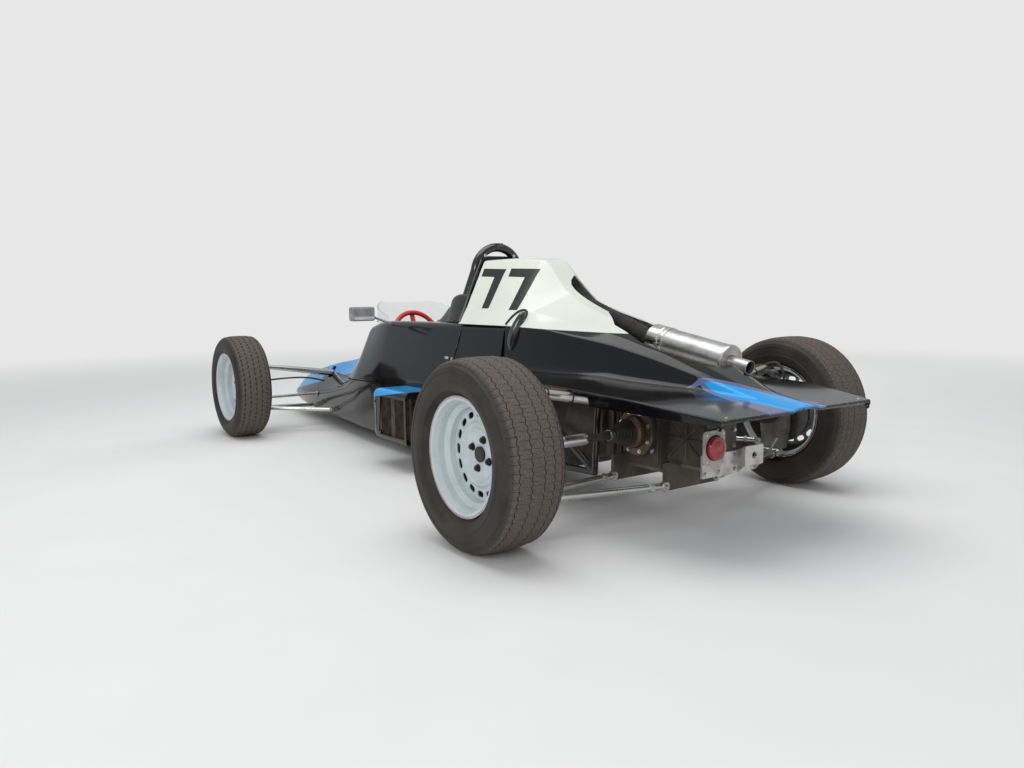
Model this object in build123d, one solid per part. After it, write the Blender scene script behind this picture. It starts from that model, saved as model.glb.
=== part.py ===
"""Single-seat open wheel racing car of about 1981: glass-fibre body over a tubular chassis,
mid-mounted in-line four, rocker-arm suspension, four steel wheels.

Frame: the nose points along -Y, +X is the car's left side, +Z is up. The origin is on the
ground, under the middle of the car's length. All sizes are millimetres.
"""

import os
from math import radians, sin, tan

from build123d import *

# Driving dimensions
WHEELBASE = 2470.0
FRONT_OVERHANG = 810.0
REAR_OVERHANG = 600.0
LENGTH = FRONT_OVERHANG + WHEELBASE + REAR_OVERHANG
NOSE_Y = -LENGTH / 2
TAIL_Y = LENGTH / 2
FRONT_Y = NOSE_Y + FRONT_OVERHANG
REAR_Y = TAIL_Y - REAR_OVERHANG
FRONT_TRACK = 1400.0
REAR_TRACK = 1464.0
FRONT_TYRE_R = 272.0
REAR_TYRE_R = 291.0
FRONT_TYRE_W = 186.0
REAR_TYRE_W = 214.0
BEAD_R = 165.5
RIM_FLANGE_R = 183.0
SKIN = 5.0
SEAM = 2.0

# Steering geometry
KINGPIN_X = 618.0
ARM_REACH = 90.0
RACK_Y = FRONT_Y - ARM_REACH
RACK_Z = 185.0
STEERING_WHEEL_AT = (0.0, -405.0, 550.0)

# Panel joints along the car
BULKHEAD_Y = -1250.0
SCUTTLE_Y = -720.0
FIREWALL_Y = 470.0
COVER_Y = 780.0
BELT_Z = 638.0

BOTH = (1, -1)


def rod(a, b, radius):
    """Solid round bar between two points."""
    a, b = Vector(*a), Vector(*b)
    bar = Cylinder(radius, (b - a).length, align=(Align.CENTER, Align.CENTER, Align.MIN))
    return Plane(origin=a, z_dir=b - a) * bar


def block(low, high):
    """Box between two corners."""
    size = [high[i] - low[i] for i in range(3)]
    centre = [(high[i] + low[i]) / 2 for i in range(3)]
    return Pos(*centre) * Box(*size)


def joined(*shapes):
    """Fuses shapes into one."""
    whole = shapes[0]
    for shape in shapes[1:]:
        whole = whole + shape
    return whole


def pair(maker):
    """The left and right copies of a part that maker(side) builds, as one compound."""
    return Compound(children=[solid for side in BOTH for solid in maker(side).solids()])


def side_prism(outline, half_width=900.0):
    """Extrudes a (y, z) outline across the car."""
    face = make_face(Polyline(*[(-half_width, y, z) for y, z in outline], close=True).edges())
    return extrude(face, amount=2 * half_width, dir=(1, 0, 0))


def plan_prism(outline, low, high):
    """Extrudes an (x, y) outline from z = low to z = high."""
    face = make_face(Polyline(*[(x, y, low) for x, y in outline], close=True).edges())
    return extrude(face, amount=high - low, dir=(0, 0, 1))


def turned(profile, centre):
    """Revolves an (x, radius) outline about the axle line through centre."""
    face = make_face(Polyline(*[(x, 0, r) for x, r in profile], close=True).edges())
    return Pos(*centre) * revolve(face, Axis.X)


def offset_chain(points, depth, closed):
    """Moves a chain of (x, z, radius) corners to its left by depth, keeping its radii concentric."""
    count = len(points)
    moved = []
    for i, (x, z, r) in enumerate(points):
        here = Vector(x, 0, z)
        before = points[i - 1] if (i or closed) else None
        after = points[(i + 1) % count] if (i < count - 1 or closed) else None
        into = (here - Vector(before[0], 0, before[1])).normalized() if before else None
        out = (Vector(after[0], 0, after[1]) - here).normalized() if after else None
        into, out = into or out, out or into
        left_in, left_out = Vector(-into.Z, 0, into.X), Vector(-out.Z, 0, out.X)
        bisector = (left_in + left_out).normalized()
        here += bisector * (depth / bisector.dot(left_in))
        turn = into.X * out.Z - into.Z * out.X
        moved.append((here.X, here.Z, r - depth if turn > 0 else r + depth))
    return moved


def section(y, points):
    """Closed wire at station y through (x, z, radius) corners, each an arc or, at radius 0, sharp."""
    starts, mids, ends = [], [], []
    count = len(points)
    for i, (x, z, r) in enumerate(points):
        here = Vector(x, y, z)
        a = (Vector(points[i - 1][0], y, points[i - 1][1]) - here).normalized()
        after = points[(i + 1) % count]
        b = (Vector(after[0], y, after[1]) - here).normalized()
        half = radians(a.get_angle(b)) / 2
        bisector = (a + b).normalized()
        starts.append(here + a * (r / tan(half)))
        ends.append(here + b * (r / tan(half)))
        mids.append(here + bisector * (r / sin(half) - r))
    edges = []
    for i in range(count):
        if points[i][2]:
            edges.append(ThreePointArc(starts[i], mids[i], ends[i]))
        edges.append(Line(ends[i], starts[(i + 1) % count]))
    return Wire([e.edge() for e in edges])


def mirrored(half):
    """A right-hand chain of (x, z, radius), bottom first, with its left-hand twin added."""
    return half + [(-x, z, r) for x, z, r in reversed(half)]


# Body: one surface through these stations, cut into panels afterwards.
# y, then half-width and height of the floor edge, the waist and the top edge
BODY_STATIONS = [
    (NOSE_Y, 50, 98, 78, 122, 42, 158),
    (-1790, 120, 84, 150, 140, 84, 222),
    (-1480, 172, 78, 206, 165, 118, 300),
    (FRONT_Y, 205, 75, 238, 200, 140, 365),
    (-760, 240, 72, 272, 270, 155, 425),
    (-500, 262, 70, 300, 345, 205, 600),
    (-200, 270, 70, 312, 372, 250, 634),
    (FIREWALL_Y, 275, 70, 314, 376, 264, 640),
    (COVER_Y, 272, 70, 310, 376, 262, 640),
]


def body_solid(inset):
    """The body's outer form, drawn in by inset."""
    wires = []
    for y, floor_half, floor_z, waist_half, waist_z, top_half, top_z in BODY_STATIONS:
        corner = 26 if y > NOSE_Y else 14
        half = [
            (floor_half, floor_z, corner),
            (waist_half, waist_z, corner * 1.6),
            (top_half, top_z, corner),
        ]
        points = mirrored(half)
        if inset:
            points = offset_chain(points, inset, closed=True)
        end_inset = inset if y == NOSE_Y else 0
        wires.append(section(y + end_inset, points))
    return Solid.make_loft(wires, ruled=True)


def make_body_panels():
    """Nose cone, lower tub, cockpit surround and side panels, cut from one shell."""
    shell = body_solid(0) - body_solid(SKIN)
    far, top = 1200.0, 1000.0
    nose_outline = [
        (NOSE_Y - 10, 0), (BULKHEAD_Y, 0), (BULKHEAD_Y, 318), (SCUTTLE_Y, 318),
        (SCUTTLE_Y, top), (NOSE_Y - 10, top),
    ]
    nose = shell & side_prism(nose_outline)
    tub_outline = [
        (BULKHEAD_Y + SEAM, 0), (FIREWALL_Y, 0), (FIREWALL_Y, 368),
        (SCUTTLE_Y, 318 - SEAM), (BULKHEAD_Y + SEAM, 318 - SEAM),
    ]
    tub = shell & side_prism(tub_outline)
    upper_outline = [
        (SCUTTLE_Y + SEAM, 318), (FIREWALL_Y, 368 + SEAM), (FIREWALL_Y, top),
        (SCUTTLE_Y + SEAM, top),
    ]
    upper = shell & side_prism(upper_outline)
    opening = plan_prism([(-212, -380), (-212, 165), (212, 165), (212, -380)], 300, top)
    opening += Pos(0, -380, 650) * Cylinder(212, 700)
    opening &= side_prism([(-585, 300), (far, 300), (far, top), (-585, top)])
    upper -= opening
    for side in BOTH:
        upper -= rod((side * 205, 345, 560), (side * 205, 345, 700), HOOP_R + 1)
    side_outline = [
        (FIREWALL_Y + SEAM, 112), (COVER_Y - SEAM, 112), (COVER_Y - SEAM, BELT_Z - SEAM),
        (FIREWALL_Y + SEAM, BELT_Z - SEAM),
    ]
    sides = shell & side_prism(side_outline)
    sides -= block((-234, FIREWALL_Y, 0), (234, COVER_Y, 900))
    # holes for the rocker arms, the track rods and the lower arms
    for side in BOTH:
        mouth = block((side * 220 - 80, FRONT_Y - 34, 284), (side * 220 + 80, FRONT_Y + 34, 346))
        nose -= mouth
        tub -= mouth
        nose -= rod((side * 150, RACK_Y, RACK_Z), (side * 330, RACK_Y, RACK_Z), 18)
        tub -= rod((side * 150, RACK_Y, RACK_Z), (side * 330, RACK_Y, RACK_Z), 18)
    firewall = body_solid(SKIN - 1) & block((-400, FIREWALL_Y - 12, 0), (400, FIREWALL_Y - 8, 360))
    firewall += body_solid(SKIN + 0.5) & block((-400, FIREWALL_Y - 12, 359), (400, FIREWALL_Y - 8, 600))
    bulkhead = body_solid(SKIN - 1) & block((-400, BULKHEAD_Y + 2, 0), (400, BULKHEAD_Y + 6, 312))
    return nose, tub, upper, sides, firewall, bulkhead


# Exhaust run: pipe, silencer, tailpipe, along the sloping back
PIPE_POINTS = [(-150, 700, 480), (-150, 700, 640), (-92, 790, 736), (-100, 1217, 593)]
SILENCER_FRONT = (-100, 1217, 593)
SILENCER_REAR = (-100, 1569, 532)
TAILPIPE_END = (-100, 1648, 518.3)
PIPE_R = 31
SILENCER_R = 57
TAILPIPE_R = 23
TAILPIPE_BORE_R = 20.5

# Tail: engine cover and rear deck in one moulding.
# y; deck edge half, z, lip; root half, z; shoulder half, z; mid half, z; top half, z
TAIL_STATIONS = [
    (365, 318, 430, 22, 285, 470, 268, 640, 215, 705, 95, 903),
    (560, 316, 434, 22, 283, 474, 266, 640, 215, 705, 95, 905),
    (740, 314, 440, 20, 280, 478, 262, 640, 210, 705, 88, 896),
    (890, 322, 446, 18, 272, 482, 254, 638, 192, 690, 70, 775),
    (1070, 368, 456, 14, 255, 484, 236, 622, 172, 658, 72, 703),
    (1270, 400, 462, 8, 222, 484, 200, 594, 152, 624, 74, 650),
    (1425, 402, 458, 8, 186, 474, 168, 560, 132, 582, 72, 600),
    (1440, 402, 457, 42, 182, 473, 165, 556, 130, 578, 72, 596),
    (1620, 400, 452, 38, 130, 464, 116, 504, 92, 514, 58, 524),
    (1790, 377, 437, 28, 75, 444, 62, 452, 44, 457, 26, 460),
    (1945, 342, 420, 15, 60, 427, 46, 431, 32, 433, 18, 434),
]


def tail_outline(row):
    """Outer corners of the tail at one station, right edge to left edge."""
    _, edge, edge_z, lip, root, root_z, side, side_z, mid, mid_z, top, top_z = row
    half = [
        (edge, edge_z - lip, 0), (edge, edge_z, 7), (root, root_z, 9), (side, side_z, 8),
        (mid, mid_z, 8), (top, top_z, 9),
    ]
    return mirrored(half)


def tail_section(row):
    """Open hat-shaped section of the tail moulding, one skin thick."""
    outer = tail_outline(row)
    inner = offset_chain(outer, SKIN, closed=False)
    inner = [(x, z, max(r, 2.0)) for x, z, r in inner]
    inner[0] = (inner[0][0], inner[0][1], 0)
    inner[-1] = (inner[-1][0], inner[-1][1], 0)
    return section(row[0], outer + inner[::-1])


def make_tail():
    tail = Solid.make_loft([tail_section(row) for row in TAIL_STATIONS], ruled=True)
    # the lower half starts behind the side panels, the upper half behind the hoop
    tail -= side_prism([(300, 0), (COVER_Y, 0), (COVER_Y, BELT_Z), (300, BELT_Z)])
    tail -= side_prism([(300, 600), (455, 600), (368, 1000), (300, 1000)])
    # flared trailing edge, then the slot and trough that the exhaust lies in
    flare = [
        (0, TAIL_Y), (350, TAIL_Y - 23), (350, 2000), (-350, 2000), (-350, TAIL_Y - 23),
    ]
    tail -= plan_prism(flare, 300, 600)
    slot = [
        (-270, 1260), (-150, 1120), (-150, 860), (-122, 822), (-40, 822), (0, 860),
        (30, 1160), (30, 1600), (-270, 1600),
    ]
    tail -= plan_prism(slot, 492, 1000)
    front, rear, end = Vector(*SILENCER_FRONT), Vector(*SILENCER_REAR), Vector(*TAILPIPE_END)
    tail -= rod(front + (rear - front) * 0.5, rear + (end - rear) * 0.1, SILENCER_R + 8)
    tail -= rod(rear, rear + (end - rear) * 2.6, TAILPIPE_R + 17)
    return tail


HOOP_R = 19.0


def make_roll_hoop():
    """Main hoop: one bent tube, legs splayed, arched over the driver's head."""
    left = [Vector(205, 345, 330), Vector(205, 345, 640), Vector(116, 345, 862)]
    arch_top = Vector(0, 345, 962)
    right = [Vector(-v.X, v.Y, v.Z) for v in left]
    path = Wire([
        Line(left[0], left[1]).edge(),
        Line(left[1], left[2]).edge(),
        ThreePointArc(left[2], arch_top, right[2]).edge(),
        Line(right[2], right[1]).edge(),
        Line(right[1], right[0]).edge(),
    ])
    profile = Plane(origin=left[0], z_dir=(0, 0, 1)) * Circle(HOOP_R)
    return sweep(profile, path=path, transition=Transition.ROUND)


def make_head_fairing():
    """Black housing round the hoop's feet and up its front, behind the driver's head."""
    lower = Solid.make_loft([
        section(168, mirrored([(150, 640, 3), (120, 668, 8)])),
        section(230, mirrored([(196, 640, 3), (168, 725, 12)])),
        section(452, mirrored([(214, 640, 3), (180, 748, 12)])),
    ])
    inside = Solid.make_loft([
        section(182, mirrored([(140, 630, 3), (110, 660, 6)])),
        section(234, mirrored([(190, 630, 3), (163, 720, 8)])),
        section(460, mirrored([(208, 630, 3), (175, 743, 8)])),
    ])
    spine = side_prism([(205, 700), (316, 726), (320, 925), (300, 915), (262, 820), (228, 748)], 92)
    lower = lower - inside
    spine -= inside
    fairing = lower + spine
    fairing -= side_prism([(453, 600), (366, 1000), (520, 1000), (520, 600)])
    for side in BOTH:
        fairing -= rod((side * 205, 345, 500), (side * 205, 345, 640), HOOP_R + 2)
        fairing -= rod((side * 205, 345, 640), (side * 116, 345, 862), HOOP_R + 2)
        fairing -= Pos(side * 205, 345, 640) * Sphere(HOOP_R + 2)
    return fairing


def make_windscreen():
    """Clear wrap-round screen on the scuttle."""
    base = Pos(0, -352, 600) * Cylinder(222, 360)
    hollow = Pos(0, -352, 600) * Cylinder(219, 380)
    screen = base - hollow
    screen &= side_prism([(-640, 400), (-640, 712), (-520, 722), (-300, 655), (-300, 400)])
    return screen - body_solid(-0.5)


def make_seat():
    """Reclined moulded bucket seat with raised sides."""
    outline = [
        (-190, 92), (-60, 84), (30, 100), (120, 330), (176, 560), (168, 572), (98, 340),
        (4, 118), (-70, 100), (-190, 112),
    ]
    shell = side_prism(outline, 190)
    side_outline = [
        (-190, 92), (-60, 84), (30, 100), (120, 330), (168, 540), (110, 470), (0, 300),
        (-120, 220), (-190, 190),
    ]
    slab = side_prism(side_outline, 196)
    wings = [slab & block((s * 193 - 4, -300, 0), (s * 193 + 4, 300, 700)) for s in BOTH]
    return joined(shell, *wings)


def steering_axis():
    centre = Vector(*STEERING_WHEEL_AT)
    pinion = Vector(0, RACK_Y, RACK_Z + 22)
    return centre, (centre - pinion).normalized(), pinion


def make_steering_wheel():
    centre, along, _ = steering_axis()
    plane = Plane(origin=centre, x_dir=(1, 0, 0), z_dir=along)
    rim = Torus(124, 12)
    boss = Pos(0, 0, -6) * Cylinder(38, 14)
    spokes = [Rot(0, 0, a) * (Pos(66, 0, -6) * Box(100, 26, 4)) for a in (0, 180, 270)]
    return plane * joined(rim, boss, *spokes)


def make_steering_column():
    centre, along, pinion = steering_axis()
    return rod(centre - along * 13, pinion + along * 30, 9.5)


def make_rack_housing():
    """Rack tube with its pinion tower and two feet to the floor."""
    _, along, pinion = steering_axis()
    tube = rod((-190, RACK_Y, RACK_Z), (190, RACK_Y, RACK_Z), 19)
    tower = rod(pinion, pinion + along * 75, 18)
    feet = [block((s * 130 - 15, RACK_Y - 15, 82), (s * 130 + 15, RACK_Y + 15, RACK_Z)) for s in BOTH]
    housing = joined(tube, tower, *feet)
    housing -= rod((-200, RACK_Y, RACK_Z), (200, RACK_Y, RACK_Z), 12.05)
    housing -= rod(pinion + along * 29, pinion + along * 90, 9.55)
    return housing


def make_rack_bar():
    """Rack bar with both track rods and their rod ends."""
    bar = rod((-236, RACK_Y, RACK_Z), (236, RACK_Y, RACK_Z), 12)
    parts = [bar]
    for side in BOTH:
        parts.append(rod((side * 228, RACK_Y, RACK_Z), (side * 600, RACK_Y, RACK_Z), 8))
        eye = Pos(side * KINGPIN_X, RACK_Y, RACK_Z) * Cylinder(21, 12)
        parts.append(eye)
    whole = joined(*parts)
    for side in BOTH:
        whole -= Pos(side * KINGPIN_X, RACK_Y, RACK_Z) * Cylinder(13, 40)
    return whole


# Wheels
FRONT_X = FRONT_TRACK / 2
REAR_X = REAR_TRACK / 2
SLOTS = 16
STUDS = 4
STUD_CIRCLE_R = 47.6
SLOT_LENGTH = 34.0
SLOT_WIDTH = 19.0
SLOT_CIRCLE_R = 121.0
STUB_R = 17.0
# corner name: (wheel centre, tyre radius, tyre width, half rim width)
CORNERS = {
    "front_left": ((FRONT_X, FRONT_Y, FRONT_TYRE_R), FRONT_TYRE_R, FRONT_TYRE_W, 82.0),
    "front_right": ((-FRONT_X, FRONT_Y, FRONT_TYRE_R), FRONT_TYRE_R, FRONT_TYRE_W, 82.0),
    "rear_left": ((REAR_X, REAR_Y, REAR_TYRE_R), REAR_TYRE_R, REAR_TYRE_W, 84.0),
    "rear_right": ((-REAR_X, REAR_Y, REAR_TYRE_R), REAR_TYRE_R, REAR_TYRE_W, 84.0),
}


def make_tyre(centre, radius, width, half_rim):
    """Tyre: flat tread, rounded shoulders, bulged walls, its beads closed over the rim's seats."""
    half = [
        (half_rim - 18, BEAD_R), (half_rim - 9.5, BEAD_R + 6), (half_rim - 5.5, BEAD_R + 19),
        (width / 2 - 4, BEAD_R + 34), (width / 2, BEAD_R + 54), (width / 2 - 3, radius - 36),
        (width * 0.42, radius - 13), (width * 0.36, radius - 5), (width * 0.2, radius - 0.8),
    ]
    profile = half + [(0, radius)] + [(-x, r) for x, r in reversed(half)]
    return turned(profile, centre)


def make_wheel(centre, half_rim, side, hub_in, disc_x):
    """Pressed steel rim and slotted centre on its hub, with the brake disc; side is +1 on the left."""
    lip, seat = half_rim, half_rim - 12
    barrel = [
        (lip, RIM_FLANGE_R), (lip - 4, RIM_FLANGE_R), (lip - 8, 171), (seat - 6, BEAD_R),
        (46, BEAD_R), (30, 148), (-30, 148), (-46, BEAD_R), (-(seat - 6), BEAD_R),
        (-(lip - 8), 171), (-(lip - 4), RIM_FLANGE_R), (-lip, RIM_FLANGE_R), (-(lip - 1), 168),
        (-(seat - 10), 160), (-42, 158), (-30, 143), (30, 143), (42, 158), (seat - 10, 160),
        (lip - 1, 168),
    ]
    rim = turned(barrel, (0, 0, 0))
    face = [
        (8, 0), (8, 74), (22, 88), (20, 104), (4, 138), (4, 144), (-1, 144), (-1, 136),
        (15, 103), (17, 90), (4, 77), (4, 0),
    ]
    centre_disc = turned(face, (0, 0, 0))
    stadium = extrude(SlotOverall(SLOT_LENGTH, SLOT_WIDTH, rotation=90), amount=60, both=True)
    slot = Pos(0, 0, SLOT_CIRCLE_R) * (Rot(0, 90, 0) * stadium)
    centre_disc -= Compound(children=[Rot(360 / SLOTS * i, 0, 0) * slot for i in range(SLOTS)])
    wheel = rim + centre_disc
    hub_profile = [
        (18, 0), (18, 24), (4, 24), (4, 62), (-8, 62), (-8, 34), (hub_in, 34), (hub_in, 0),
    ]
    hub = turned(hub_profile, (0, 0, 0))
    wheel = wheel + hub
    stud = Pos(8, 0, STUD_CIRCLE_R) * (Rot(0, 90, 0) * extrude(RegularPolygon(10, 6), amount=13))
    wheel = joined(wheel, *[Rot(360 / STUDS * i, 0, 0) * stud for i in range(STUDS)])
    disc = turned([(disc_x + 5, 30), (disc_x + 5, 121), (disc_x - 5, 121), (disc_x - 5, 30)], (0, 0, 0))
    wheel = wheel + disc
    if side < 0:
        wheel = mirror(wheel, Plane.YZ)
    return Pos(*centre) * wheel


def make_front_wheel(side):
    centre = CORNERS["front_left" if side > 0 else "front_right"][0]
    wheel = make_wheel(centre, 82.0, side, -62.0, -48.0)
    inner, outer = side * (KINGPIN_X + 10), side * (FRONT_X - 2)
    bearing = rod((inner, FRONT_Y, FRONT_TYRE_R), (outer, FRONT_Y, FRONT_TYRE_R), STUB_R + 0.05)
    return wheel - bearing


def make_rear_wheel(side):
    """Rear wheel with its hub; the stub of the driveshaft runs through the upright."""
    centre = CORNERS["rear_left" if side > 0 else "rear_right"][0]
    return make_wheel(centre, 84.0, side, -122.0, -46.0)


DRIVE_R = 13.0


def make_driveshaft(side):
    """Driveshaft with a joint and ribbed boot at each end; it turns with the wheel."""
    y, z = REAR_Y, REAR_TYRE_R
    parts = [rod((side * (REAR_X - 122), y, z), (side * 112, y, z), DRIVE_R)]
    profile = [(110, 0), (110, 52), (150, 52), (150, 46)]
    for i in range(5):
        x = 150 + 14 * i
        crest = 46 - 4.6 * i
        profile += [(x + 5, crest), (x + 11, crest - 9), (x + 14, crest - 4.6)]
    profile += [(232, 17), (232, 0)]
    boot = turned(profile, (0, y, z))
    if side < 0:
        boot = mirror(boot, Plane.YZ)
    parts.append(boot)
    outer_boot = [
        (520, 0), (520, 17), (534, 26), (544, 22), (554, 34), (564, 30), (574, 42), (606, 42),
        (606, 0),
    ]
    outer = turned(outer_boot, (0, y, z))
    if side < 0:
        outer = mirror(outer, Plane.YZ)
    parts.append(outer)
    return joined(*parts)


def make_knuckle(side):
    """Front upright with stub axle, steering arm and brake caliper."""
    x, y, z = side * KINGPIN_X, FRONT_Y, FRONT_TYRE_R
    outline = [
        (y - 30, 156.3), (y + 30, 156.3), (y + 38, 250), (y + 34, 300), (y + 16, 357),
        (y - 16, 357), (y - 34, 300), (y - 38, 250),
    ]
    body = side_prism(outline, 900)
    body &= block((min(x - 11, x + 11), y - 60, 0), (max(x - 11, x + 11), y + 60, 600))
    axle = rod((side * (KINGPIN_X - 8), y, z), (side * (FRONT_X - 4), y, z), 17)
    arm = block((x - 10, y - ARM_REACH - 12, 206), (x + 10, y - 20, 220))
    stud = rod((x, y - ARM_REACH, 170), (x, y - ARM_REACH, 210), 5)
    disc_x = side * (FRONT_X - 48)
    caliper = block((disc_x - 32, y + 76, z - 36), (disc_x + 32, y + 132, z + 36))
    caliper -= block((disc_x - 10, y, z - 130), (disc_x + 10, y + 124.5, z + 130))
    mount = block((min(x - 8, x + 8), y + 20, z - 30), (max(x - 8, x + 8), y + 80, z + 30))
    return joined(body, axle, arm, stud, mount) + caliper


def make_front_rockers():
    """Fabricated upper rocker arms, each pivoting on a bracket inside the nose."""
    def one(side):
        y = FRONT_Y
        arm = Solid.make_loft([
            section_x(side * 606, y, 372, 13, 10),
            section_x(side * 470, y, 355, 19, 14),
            section_x(side * 190, y, 313, 26, 18),
            section_x(side * 84, y, 298, 22, 16),
        ])
        pivot = rod((side * 106, y - 58, 301), (side * 106, y + 58, 301), 11)
        ball = Pos(side * KINGPIN_X, y, 372.3) * Sphere(15)
        ear_x = side * 106
        ears = [
            block((ear_x - 7, y + d - 7, 285), (ear_x + 7, y + d + 7, 301)) for d in (-51, 51)
        ]
        return joined(arm, pivot, ball, *ears)
    return pair(one)


def section_x(x, y, z, half_wide, half_tall):
    """Rounded rectangle across a rocker arm at station x."""
    plane = Plane(origin=(x, y, z), x_dir=(0, 1, 0), z_dir=(1, 0, 0))
    return (plane * RectangleRounded(2 * half_wide, 2 * half_tall, min(half_wide, half_tall) * 0.8)).wire()


def make_front_wishbones():
    """Lower wishbones: two tubes from the ball joint to brackets on the tub's side."""
    tub = body_solid(0)
    def one(side):
        x, z = side * KINGPIN_X, 143
        feet = [(side * 240, FRONT_Y - 105, 118), (side * 252, FRONT_Y + 165, 118)]
        legs = [rod((x - side * 10, FRONT_Y, z), foot, 11) for foot in feet]
        joint = Pos(x, FRONT_Y, z) * Cylinder(19, 26)
        eyes = [rod((fx, fy - 14, fz), (fx, fy + 14, fz), 14) for fx, fy, fz in feet]
        lugs = [
            block((min(fx, fx - side * 60), fy - 10, fz - 12), (max(fx, fx - side * 60), fy + 10, fz + 12))
            for fx, fy, fz in feet
        ]
        return joined(joint, *legs, *eyes, *lugs) - tub
    return pair(one)


def make_rear_uprights():
    """Cast rear uprights that carry the hub bearings, with calipers."""
    def one(side):
        x, y, z = side * 640, REAR_Y, REAR_TYRE_R
        outline = [
            (y - 46, 150), (y + 46, 150), (y + 60, 230), (y + 60, 340), (y + 28, 415),
            (y - 28, 415), (y - 60, 340), (y - 60, 230),
        ]
        body = side_prism(outline, 900)
        body &= block((x - 14, y - 90, 0), (x + 14, y + 90, 600))
        bearing = rod((side * 612, y, z), (side * 664, y, z), 52)
        upright = joined(body, bearing) - rod((side * 600, y, z), (side * 680, y, z), 34.05)
        disc_x = side * (REAR_X - 46)
        caliper = block((disc_x - 32, y - 132, z - 36), (disc_x + 32, y - 76, z + 36))
        caliper -= block((disc_x - 10, y - 124.5, z - 130), (disc_x + 10, y, z + 130))
        mount = block((min(x, x + side * 20), y - 80, z - 30), (max(x, x + side * 20), y - 50, z + 30))
        return joined(upright, mount) + caliper
    return pair(one)


def make_rear_rockers():
    """Tubular upper rocker arms, dropping into the wheel outside, pivoting beside the gearbox."""
    def one(side):
        y = REAR_Y
        arm = Solid.make_loft([
            section_x(side * 640, y, 431, 20, 15),
            section_x(side * 602, y, 455, 19, 17),
            section_x(side * 560, y, 463, 18, 17),
            section_x(side * 330, y, 421, 20, 17),
            section_x(side * 130, y, 384, 24, 18),
        ], ruled=True)
        pivot = rod((side * 150, y - 52, 388), (side * 150, y + 52, 388), 13)
        return joined(arm, pivot)
    return pair(one)


def make_rear_wishbones():
    """Wide lower wishbones from the uprights to cross members under the gearbox."""
    def one(side):
        y = REAR_Y
        legs = [
            rod((side * 616, y + outer_y, 133), (side * inner_x, y + inner_y, 130), 12)
            for outer_y, inner_x, inner_y in ((-20, 150, -70), (26, 122, 150))
        ]
        joint = rod((side * 622, y - 44, 133), (side * 622, y + 44, 133), 17)
        return joined(joint, *legs)
    return pair(one)


def make_radius_rods():
    """Upper and lower radius rods forward from each upright to brackets on the tub's rear edge."""
    tub = body_solid(0)
    def one(side):
        rods = []
        for z, z_front, x_front in ((385, 300, 322), (170, 150, 304)):
            bar = rod((side * 620, REAR_Y - 62, z), (side * x_front, 452, z_front), 9)
            low_x, high_x = sorted((side * 250, side * x_front))
            lug = block((low_x, 444, z_front - 11), (high_x, 460, z_front + 11))
            rods.append(joined(bar, lug) - tub)
        return Compound(children=rods)
    return pair(one)


def make_engine():
    """In-line four as one plain block."""
    return chamfer(block((-112, 500, 105), (112, 1000, 610)).edges(), 18)


def make_gearbox():
    """Bellhousing, four-speed transaxle and its ribbed tail casing."""
    bell = Solid.make_loft([
        Wire.make_circle(150, Plane(origin=(0, 1002, 280), z_dir=(0, 1, 0))),
        Wire.make_circle(112, Plane(origin=(0, 1170, 290), z_dir=(0, 1, 0))),
    ])
    case = block((-88, 1165, 175), (88, 1440, 400))
    plates = rod((-104, REAR_Y, REAR_TYRE_R), (104, REAR_Y, REAR_TYRE_R), 84)
    tail = block((-62, 1435, 200), (62, 1610, 370))
    ribs = [block((-96, y, 190), (96, y + 8, 385)) for y in (1205, 1245, 1425)]
    end = block((-70, 1606, 192), (70, 1622, 378))
    carriers = [
        block((-x, y - 8, 116), (x, y + 8, 205))
        for x, y in ((152, REAR_Y - 70), (124, REAR_Y + 150))
    ]
    return joined(bell, case, plates, tail, end, *ribs, *carriers)


def make_bay_frame():
    """Tube trusses either side of the engine, from the tub to the gearbox."""
    def one(side):
        low_front, low_rear = (side * 236, 480, 118), (side * 165, 1190, 130)
        top_front, top_rear = (side * 236, 480, 410), (side * 150, 1190, 392)
        mid_low, mid_top = (side * 205, 800, 123), (side * 200, 800, 405)
        tubes = [(low_front, mid_low), (mid_low, low_rear), (top_front, mid_top), (mid_top, top_rear),
                 (low_front, top_front), (mid_low, mid_top), (low_rear, top_rear),
                 (low_front, mid_top), (mid_top, low_rear)]
        knots = (low_front, low_rear, top_front, top_rear, mid_low, mid_top)
        balls = [Pos(*p) * Sphere(12.5) for p in knots]
        return joined(*[rod(a, b, 12) for a, b in tubes], *balls)
    return pair(one)


def make_exhaust_pipe():
    parts = [rod(a, b, PIPE_R) for a, b in zip(PIPE_POINTS[:-1], PIPE_POINTS[1:])]
    parts += [Pos(*p) * Sphere(PIPE_R) for p in PIPE_POINTS[1:-1]]
    return joined(*parts) & block((-400, 0, 0), (400, SILENCER_FRONT[1] - 4, 1000))


def make_silencer():
    front, rear, end = Vector(*SILENCER_FRONT), Vector(*SILENCER_REAR), Vector(*TAILPIPE_END)
    can = rod(front, rear, SILENCER_R)
    tip = rod(rear, end, TAILPIPE_R)
    bore = rod(rear - (end - rear) * 0.2, end + (end - rear), TAILPIPE_BORE_R)
    # strap from the can down to a foot on top of the gearbox
    hanger = block((-108, 1400, 400), (-92, 1412, 540)) + block((-108, 1400, 400), (-60, 1412, 408))
    return joined(can, tip, hanger) - bore


def make_sidepods():
    """Radiator ducts low on each side, open in front and behind."""
    tub = body_solid(0)
    def one(side):
        outer = loft_pod(0)
        inner = loft_pod(SKIN)
        pod = outer - inner - tub
        return pod if side > 0 else mirror(pod, Plane.YZ)
    return pair(one)


# y; inner half, outer half, low z, high z
POD_STATIONS = [(-40, 268, 430, 140, 330), (60, 268, 462, 132, 350), (330, 268, 462, 128, 352)]


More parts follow.
